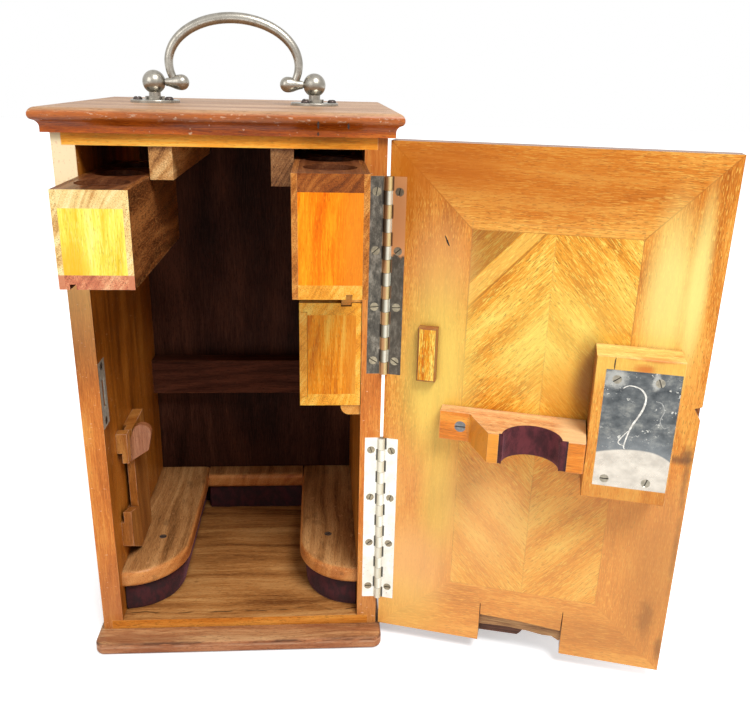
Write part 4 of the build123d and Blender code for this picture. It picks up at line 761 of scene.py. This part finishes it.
def plain(name, colour, rough, metallic=0.0):
    """A small fitting's material: mottled, with painted shade in its slots and corners."""
    g = Nodes(name)
    cloud = g.noise(g.place, 0.002, detail=4.0)
    shade = g.mix(g.step(cloud, 0.4, 0.65), tuple(0.72 * c for c in colour), colour)
    # Painted shade deep in the slots and corners, found by ambient occlusion.
    shade = g.tint(shade, (0.01, 0.008, 0.007), g.crevice(0.0014, 0.9, 0.5), 0.9)
    g.bump(cloud, 0.00004, 0.4)
    return g.finish(shade, rough, Metallic=metallic)


# ---- dressing the CAD pieces
def dress(material, *names):
    for name in names:
        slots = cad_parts[name].data.materials
        slots.clear()
        slots.append(material)


# Small fittings: material, colour, roughness, how metallic, and pieces.
FITTINGS = (
    ("foot_screw", (0.1, 0.065, 0.045), 0.6, 0.0, "foot_board_screws"),
    ("peg_metal", (0.55, 0.3, 0.2), 0.35, 0.6, "turn_button_peg"),
    ("strike_metal", (0.62, 0.58, 0.48), 0.35, 0.3, "strike_plate"),
    ("strike_screw", (0.42, 0.36, 0.28), 0.4, 1.0, "strike_screws"),
    ("hinge_pin", (0.5, 0.42, 0.28), 0.35, 1.0, "hinge_pins"),
    ("hinge_screw", (0.33, 0.28, 0.19), 0.35, 0.9, "hinge_case_screws", "hinge_door_screws"),
    ("bar_screw", (0.2, 0.2, 0.2), 0.42, 0.8, "clamp_bar_screw"),
    ("plate_screw", (0.3, 0.27, 0.21), 0.35, 0.9, "lock_cover_screws"),
    ("lock_steel", (0.45, 0.44, 0.42), 0.3, 1.0, "lock_pins", "lock_spring"),
    ("blued_screw", (0.085, 0.06, 0.052), 0.35, 0.5, "handle_post_screws"),
)


def dress_fittings():
    for name, colour, rough, metallic, *pieces in FITTINGS:
        dress(plain(name, colour, rough, metallic), *pieces)


def dress_carcass():
    dress(top_wood(), "top_board")
    dress(side_wood("left_wood", -1, 21), "side_panel_left")
    dress(side_wood("right_wood", 1, 22), "side_panel_right")
    dress(plinth_wood(), "plinth")
    dress(floor_wood(), "carcass_floor")
    orange = ((0.7, 0.21, 0.012), (0.97, 0.36, 0.03), (0.98, 0.58, 0.1))
    dress(wood("head_wood", "x", orange, 24, dashes=0.3, pores=0.3, worn=(0.85, 0.5, 0.2)), "carcass_top")
    dress(back_wood(), "back_panel")
    red = ((0.03, 0.009, 0.005), (0.085, 0.026, 0.014), (0.17, 0.055, 0.028))
    dress(wood("cross_rail_wood", "x", red, 26, 0.6, 0.0, (0.3, 0.11, 0.05), dashes=0.2), "rear_cross_rail")
    # The two hanging runners are one wood: painted light on the left runner and painted shade on the right
    # one.
    runner = ((0.2, 0.07, 0.02), (0.56, 0.26, 0.08), (0.85, 0.56, 0.25))
    shaded = ((0.08, 0.025, 0.008), (0.24, 0.095, 0.03), (0.42, 0.22, 0.09))
    lit = wood("runner_wood", "y", runner, 27, dashes=0.2, pores=0.9, band=0.006, contrast=1.5)
    dress(lit, "hanging_runner_left")
    dress(wood("runner_wood_shaded", "y", shaded, 31, dashes=0.2, pores=1.0, band=0.004), "hanging_runner_right")
    rail = ((0.4, 0.11, 0.012), (0.66, 0.25, 0.035), (0.82, 0.42, 0.1))
    dress(wood("rail_wood", "y", rail, 28, dashes=0.2), "left_box_rail", "right_box_rail", "lower_box_rail")


def foot_wood():
    """Grey-brown tops with an orange rounded edge, rubbed and knocked."""
    g = Nodes("foot_wood")
    point = along_grain(g, "y", 33)
    above, height = timber(
        g, point, ((0.17, 0.066, 0.02), (0.42, 0.19, 0.062), (0.62, 0.335, 0.13)), band=0.008, dashes=0.3
    )
    edge, _ = timber(g, point, ((0.34, 0.09, 0.018), (0.56, 0.2, 0.05), (0.72, 0.33, 0.1)), dashes=0.3)
    colour = g.mix(g.step(g.z, 0.0515, 0.0528), edge, above)
    knocks = g.spots((0.004, 0.006, 0.002), 0.64, 0.7, detail=3.0)
    colour = g.tint(colour, (0.68, 0.36, 0.15), knocks, 0.4)
    dark = g.spots((0.01, 0.02, 0.01), 0.6, 0.72, detail=3.0)
    colour = g.tint(colour, (0.1, 0.045, 0.02), dark, 0.35)
    return polished(g, colour, height, 0.4, 0.2, dirt_and_shade=0.6)


def dress_inside():
    dress(foot_wood(), "foot_board_left", "foot_board_right", "foot_board_rear")
    rack = ((0.2, 0.055, 0.007), (0.38, 0.13, 0.022), (0.56, 0.25, 0.06))
    dress(wood("rack_wood", "z", rack, 35, dashes=0.2, worn=(0.72, 0.42, 0.27), wear=0.8), "rack_board")
    button = ((0.17, 0.048, 0.016), (0.32, 0.11, 0.042), (0.48, 0.21, 0.1))
    dress(wood("button_wood", "z", button, 36, polish=0.5, dashes=0.2), "turn_button")


def dress_hinges():
    for side, suffix, on_door in (("case", "", False), ("door", "_door", True)):
        dress(upper_leaf_metal("hinge_tarnished" + suffix, on_door), f"hinge_{side}_leaf_upper")
        dress(lower_leaf_metal("hinge_bright" + suffix, on_door), f"hinge_{side}_leaf_lower")


def dress_door():
    dress(core_wood(), "door_core")
    dress(mitred_wood(), "door_border_veneer")
    dress(quartered_wood(), "door_centre_veneer")
    mottled = ((0.48, 0.11, 0.003), (0.9, 0.38, 0.018), (0.98, 0.72, 0.15))
    dress(framed_wood("block_wood", mottled, 41), "stop_block")
    dress(bar_face_wood(), "clamp_bar")
    dress(block_face_wood(), "lock_block")
    dress(plate_metal(), "lock_cover_plate")
    dress(metal("lock_case_metal", (0.6, 0.56, 0.48), (0.25, 0.22, 0.18)), "lock_case")
    dress(metal("bolt_brass", (0.6, 0.52, 0.3), (0.28, 0.24, 0.13), 0.3), "lock_bolt", "lock_lever")
    dress(metal("escutcheon_brass", (0.58, 0.44, 0.2), (0.2, 0.14, 0.07)), "keyhole_escutcheon")


def dress_boxes():
    boxes = ("left_box_sides", "right_box_sides", "lower_box_boards")
    left, right, lower = (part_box(name)[0].y for name in boxes)
    pale = ((0.6, 0.29, 0.08), (0.92, 0.64, 0.25), (0.98, 0.84, 0.44))
    brown = ((0.22, 0.06, 0.01), (0.5, 0.16, 0.028), (0.74, 0.34, 0.08))
    under = (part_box("left_box_bottom")[1].z, (0.62, 0.2, 0.11))
    dress(box_side_wood("left_box_wood", 51, pale, left, under), "left_box_sides")
    dress(box_side_wood("right_box_wood", 52, brown, right), "right_box_sides")
    yellow = ((0.85, 0.55, 0.035), (0.96, 0.82, 0.11), (0.98, 0.93, 0.28))
    orange = ((0.72, 0.11, 0.0), (0.93, 0.2, 0.001), (0.98, 0.38, 0.01))
    grainy = ((0.6, 0.14, 0.003), (0.9, 0.29, 0.008), (0.98, 0.54, 0.08))
    for place, tones, seed, fade in (
        ("left", yellow, 53, ((-0.0775, 0.2925), (0.014, 0.024), (0.9, 0.46, 0.02), 0.75)),
        ("right", orange, 54, ((0.085, 0.315), (0.022, 0.08), (0.85, 0.3, 0.02), 0.6)),
        ("lower", grainy, 60, ((0.087, 0.224), (0.02, 0.07), (0.62, 0.21, 0.02), 0.6)),
    ):
        dress(panel_wood(place + "_panel_wood", tones, seed, fade), place + "_box_ends")
    dark = ((0.05, 0.013, 0.005), (0.12, 0.035, 0.012), (0.24, 0.09, 0.035))
    russet = ((0.09, 0.02, 0.002), (0.24, 0.055, 0.006), (0.42, 0.13, 0.02))
    scuffed = ((0.36, 0.08, 0.045), (0.66, 0.21, 0.1), (0.92, 0.52, 0.27))
    amber = ((0.62, 0.2, 0.01), (0.9, 0.36, 0.03), (0.97, 0.58, 0.12))
    boards = ((0.46, 0.16, 0.018), (0.76, 0.34, 0.05), (0.9, 0.54, 0.14))
    golden = ((0.7, 0.22, 0.01), (0.95, 0.4, 0.028), (0.98, 0.62, 0.12))
    lid = ((0.62, 0.26, 0.03), (0.9, 0.51, 0.075), (0.98, 0.76, 0.2))
    for name, node, along, face, seed, front in (
        ("left_top_wood", "left_box_top", dark, pale, 55, left),
        ("right_top_wood", "right_box_top", dark, russet, 56, right),
        ("left_bottom_wood", "left_box_bottom", dark, scuffed, 57, left),
        ("right_bottom_wood", "right_box_bottom", dark, amber, 58, right),
        ("lower_box_wood", "lower_box_boards", boards, golden, 59, lower),
        ("lid_wood", "lower_box_lid", lid, amber, 61, lower),
    ):
        dress(end_front_wood(name, along, face, seed, front), node)


def dress_handle():
    nickel = metal("handle_nickel", (0.42, 0.39, 0.335), (0.15, 0.135, 0.11), 0.27, 0.45, 0.006, 0.35)
    dress(nickel, "handle_posts", "handle_bail")


# ---- velvet
def mesh_piece(name, vertices, faces, material):
    mesh = bpy.data.meshes.new(name)
    mesh.from_pydata([tuple(v) for v in vertices], [], faces)
    mesh.materials.append(material)
    mesh.update()
    for polygon in mesh.polygons:
        polygon.use_smooth = True
    piece = bpy.data.objects.new(name, mesh)
    bpy.context.scene.collection.objects.link(piece)
    return piece


def straight(corners, counts):
    """Places along the sides between corners, without the first corner."""
    points = []
    for start, end, steps in zip(corners, corners[1:], counts):
        points += [tuple(a + (b - a) * i / steps for a, b in zip(start, end)) for i in range(1, steps + 1)]
    return points


def side_pad_outline(side):
    """The velvet's outline under a side foot board: a quarter round and three straight sides."""
    middle = FRONT + 0.051
    points = []
    for i in range(41):
        turn = math.radians(90.0 * i / 40)
        points.append((side * (WALL - PAD_W * math.sin(turn)), middle - PAD_W * math.cos(turn)))
    inner, outer = side * (WALL - PAD_W), side * WALL
    corners = ((inner, middle), (inner, REAR), (outer, REAR), (outer, middle - PAD_W))
    return points + straight(corners, (60, 20, 60))[:-1]


def rear_pad_outline():
    """The velvet's outline under the rear foot board, a plain rectangle."""
    reach, front = 0.0426, 0.0684
    corners = ((reach, front), (-reach, front), (-reach, REAR), (reach, REAR), (reach, front))
    return [corners[0]] + straight(corners, (60, 10, 60, 10))[:-1]


def pad(name, outline, material):
    """A velvet-covered pad that swells a little between the floor and the foot board."""
    middle = Vector((sum(p[0] for p in outline), sum(p[1] for p in outline))) / len(outline)
    rows = 15
    sunk, slack, shrink, rippled = 0.0004, 0.0001, 0.0011, 0.00035
    vertices = []
    count = len(outline)
    for row in range(rows):
        share = row / (rows - 1)
        swell = shrink * (1.0 - math.sin(math.pi * share) ** 0.55)
        for i, (x, y) in enumerate(outline):
            before = Vector(outline[i - 1])
            after = Vector(outline[(i + 1) % count])
            run = (after - before).normalized()
            inward = Vector((-run.y, run.x))
            if inward.dot(middle - Vector((x, y))) < 0:
                inward = -inward
            ripple = rippled * noise.noise(Vector((x * 90, y * 90, share * 2.5)))
            shift = inward * (swell + sunk + ripple)
            z = FLOOR + slack + (FOOT_UNDER - FLOOR - 2.0 * slack) * share
            vertices.append((x + shift.x, y + shift.y, z))
    faces = []
    for row in range(rows - 1):
        for i in range(count):
            j = (i + 1) % count
            a, b = row * count, (row + 1) * count
            faces.append((a + i, a + j, b + j, b + i))
    faces.append(tuple(reversed(range(count))))
    faces.append(tuple(range((rows - 1) * count, rows * count)))
    piece = mesh_piece(name, vertices, faces, material)
    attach(piece, "case")
    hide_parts("foot_velvet")


def cup_path():
    """The velvet's face along the bar: lip, hollow and lip, with the way into the bar."""
    off, radius = 0.037, 0.017
    lip, hollow = (0.0, -1.0), []
    for i in range(61):
        turn = math.pi * i / 60
        way = (-math.cos(turn), -math.sin(turn))
        hollow.append((CUP + radius * way[0], off - 0.0003 + radius * way[1], way))
    left = [(CUP - 0.0198 + 0.0024 * i / 5, off, lip) for i in range(6)]
    right = [(CUP + 0.0174 + 0.0045 * i / 7, off, lip) for i in range(8)]
    return left + hollow + right


def cup_velvet(material):
    """Velvet glued into the bar's cup and over its lips."""
    path = cup_path()
    rows = 25
    thick = 0.0012
    vertices = []
    for layer in (0, 1):
        for row in range(rows):
            share = row / (rows - 1)
            up = BAR_Z[0] + (BAR_Z[1] - BAR_Z[0]) * share
            rounded = 0.0005 * (1.0 - min(1.0, 8.0 * min(share, 1.0 - share)))
            for along, off, inward in path:
                nap = 0.00018 * (1.0 + noise.noise(Vector((along * 260, off * 260, up * 200))))
                depth = thick if layer else nap + rounded
                vertices.append(door_point(along + inward[0] * depth, off + inward[1] * depth, up))
    wide = len(path)
    base = rows * wide
    faces = []
    for row in range(rows - 1):
        for i in range(wide - 1):
            a = row * wide + i
            faces.append((a, a + 1, a + wide + 1, a + wide))
            faces.append((base + a, base + a + wide, base + a + wide + 1, base + a + 1))
    for i in range(wide - 1):
        faces.append((i, base + i, base + i + 1, i + 1))
        top = (rows - 1) * wide + i
        faces.append((top, top + 1, base + top + 1, base + top))
    for row in range(rows - 1):
        a = row * wide
        b = a + wide - 1
        faces.append((a, a + wide, base + a + wide, base + a))
        faces.append((b, base + b, base + b + wide, b + wide))
    piece = mesh_piece("cup_velvet", vertices, faces, material)
    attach(piece, "door")
    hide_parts("clamp_bar_velvet")


def make_velvet():
    burgundy = velvet("velvet", (0.016, 0.0014, 0.0025), (0.056, 0.006, 0.008))
    pad("left_foot_velvet", side_pad_outline(-1), burgundy)
    pad("right_foot_velvet", side_pad_outline(1), burgundy)
    pad("rear_foot_velvet", rear_pad_outline(), burgundy)
    cup_velvet(velvet("cup_velvet", (0.04, 0.0035, 0.006), (0.13, 0.02, 0.026), ends=True))


# ---- cracks and scratches
def mark(name, points, width, up, body, material):
    """A thin sliver that follows points on a surface, narrow at both ends."""
    count = len(points)
    vertices = []
    for i, point in enumerate(points):
        run = (points[min(i + 1, count - 1)] - points[max(i - 1, 0)]).normalized()
        out = run.cross(up).normalized()
        share = i / (count - 1)
        half = 0.5 * width * (0.35 + 0.65 * math.sin(math.pi * (0.08 + 0.84 * share)))
        half *= 1.0 + 0.35 * noise.noise(point * 900.0)
        vertices += [point + out * half, point - out * half, point + up * 0.00006]
    faces = []
    for i in range(count - 1):
        a = 3 * i
        faces.append((a, a + 3, a + 5, a + 2))
        faces.append((a + 2, a + 5, a + 4, a + 1))
    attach(mesh_piece(name, vertices, faces, material), body)


def eased(points, steps=6):
    """More points between the given ones, on a smooth line through them."""
    line = []
    last = len(points) - 1
    for i in range(last):
        p0, p1 = points[max(i - 1, 0)], points[i]
        p2, p3 = points[i + 1], points[min(i + 2, last)]
        for j in range(steps):
            t = j / steps
            a = p1 * 2 + (p2 - p0) * t
            b = (p0 * 2 - p1 * 5 + p2 * 4 - p3) * t * t
            c = (p1 * 3 - p0 - p2 * 3 + p3) * t * t * t
            line.append((a + b + c) * 0.5)
    return line + [points[last]]


def make_marks():
    dark = plain("crack", (0.03, 0.016, 0.01), 0.8)
    bright = plain("scratch", (0.78, 0.75, 0.68), 0.35, 0.4)
    out = door_point(0.0, 1.0, 0.0) - door_point(0.0, 0.0, 0.0)

    loop = [
        (151.5, 227.4), (155.1, 229.3), (160.9, 228.2), (164.2, 225.0), (165.3, 221.5), (164.5, 215.6),
        (162.1, 209.5), (159.5, 204.1), (157.7, 197.9), (156.3, 190.2), (156.9, 188.0),
    ]
    small = [(157.7, 200.1), (154.7, 196.0), (152.8, 192.4), (154.0, 190.7), (156.3, 190.2)]
    curl = [(171.0, 221.0), (174.5, 220.0), (176.5, 215.0), (175.0, 209.0), (177.5, 204.5), (181.0, 206.0)]
    crack = [(145.2, 238.6), (145.0, 242.0), (145.3, 246.2)]
    stroke = [(36.8, 306.8), (38.2, 303.6), (39.7, 300.5)]
    for name, pairs, off, width, material in (
        ("plate_scratch", loop, 0.024, 0.0011, bright),
        ("plate_scratch_loop", small, 0.024, 0.0008, bright),
        ("plate_scratch_faint", curl, 0.024, 0.0005, plain("faint", (0.4, 0.4, 0.38), 0.4, 0.5)),
        ("block_crack", crack, 0.024, 0.0007, dark),
        ("facing_mark", stroke, 0.0, 0.0011, dark),
    ):
        line = eased([door_point(along / 1000, off, up / 1000) for along, up in pairs])
        mark(name, line, width, out, "door", material)
    front = Vector((0.0, -1.0, 0.0))
    nose = FRONT - 0.0084
    cracks = (
        (0.0578, nose, 0.3712, 0.0042),
        (0.0577, nose + 0.0018, 0.366, 0.002),
        (0.0757, nose, 0.3708, 0.0034),
    )
    for i, (x, y, z, long) in enumerate(cracks):
        points = [Vector((x + 0.0003 * math.sin(9 * k), y, z - long / 2 + long * k / 6)) for k in range(7)]
        mark(f"nose_crack_{i + 1}", points, 0.0011, front, "case", dark)


# ---- stage, light and camera
def ray_mask(g):
    """1 for what the camera sees straight, in a mirror or through glass."""
    path = g.add("LightPath")
    seen = g.plus(path.outputs["Is Camera Ray"], path.outputs["Is Glossy Ray"])
    return g.calc("ADD", seen, path.outputs["Is Transmission Ray"], clamp=True)


def make_floor():
    """A pale floor that keeps the shadow near the case and turns white further out."""
    g = Nodes("floor")
    away = g.vector("LENGTH", g.together(g.minus(g.x, 0.08), g.plus(g.y, 0.08), 0.0))
    far = g.step(away, 0.1, 0.32)
    glow = g.scaled(far, 0.6, 0.4)
    white = g.add("Emission", Color=(1.0, 1.0, 1.0), Strength=g.times(ray_mask(g), glow))
    g.finish((0.86, 0.86, 0.86), 0.75)
    both = g.add("AddShader")
    g.fill(both.inputs, (g.shader.outputs[0], white.outputs[0]))
    g.join(g.output.inputs["Surface"], both.outputs[0])
    size = 6.0
    corners = [(-size, -size, 0), (size, -size, 0), (size, size, 0), (-size, size, 0)]
    piece = mesh_piece("floor", corners, [(0, 1, 2, 3)], g.material)
    piece.location.z = -0.0002


def make_world():
    world = bpy.data.worlds.new("world")
    bpy.context.scene.world = world
    g = Tree(world)
    strength = g.add("MapRange", Value=ray_mask(g), To_Min=0.25, To_Max=1.0).outputs[0]
    background = g.add("Background", Color=(1.0, 1.0, 1.0), Strength=strength)
    g.add("OutputWorld", Surface=background.outputs[0])


def lamp(name, place, aim, size, power):
    light = bpy.data.lights.new(name, "AREA")
    light.shape = "RECTANGLE"
    light.size, light.size_y = size
    light.energy = power
    holder = bpy.data.objects.new(name, light)
    holder.location = place
    holder.rotation_euler = (Vector(aim) - Vector(place)).to_track_quat("-Z", "Y").to_euler()
    bpy.context.scene.collection.objects.link(holder)


def make_lights():
    lamp("key_light", (0.5, -0.95, 1.5), (0.05, -0.1, 0.18), (0.6, 0.6), 25.0)
    lamp("fill_light", (-1.0, -1.1, 0.9), (0.05, -0.1, 0.2), (0.9, 0.9), 5.0)


def make_camera():
    data = bpy.data.cameras.new("camera")
    data.lens = 38.14
    data.sensor_width = 36.0
    data.sensor_fit = "HORIZONTAL"
    holder = bpy.data.objects.new("camera", data)
    right = (0.9976, -0.0656, 0.0222)
    up = (0.0011, 0.3358, 0.9419)
    back = (-0.0692, -0.9396, 0.3351)
    station = (0.0586, -0.587, 0.401)
    turn = Matrix((right, up, back)).transposed()
    holder.matrix_world = Matrix.Translation(station) @ turn.to_4x4()
    bpy.context.scene.collection.objects.link(holder)
    bpy.context.scene.camera = holder


dress_carcass()
dress_inside()
dress_hinges()
dress_door()
dress_boxes()
dress_handle()
dress_fittings()
make_velvet()
make_marks()
make_floor()
make_world()
make_lights()
make_camera()
bpy.context.scene.view_settings.view_transform = "Standard"
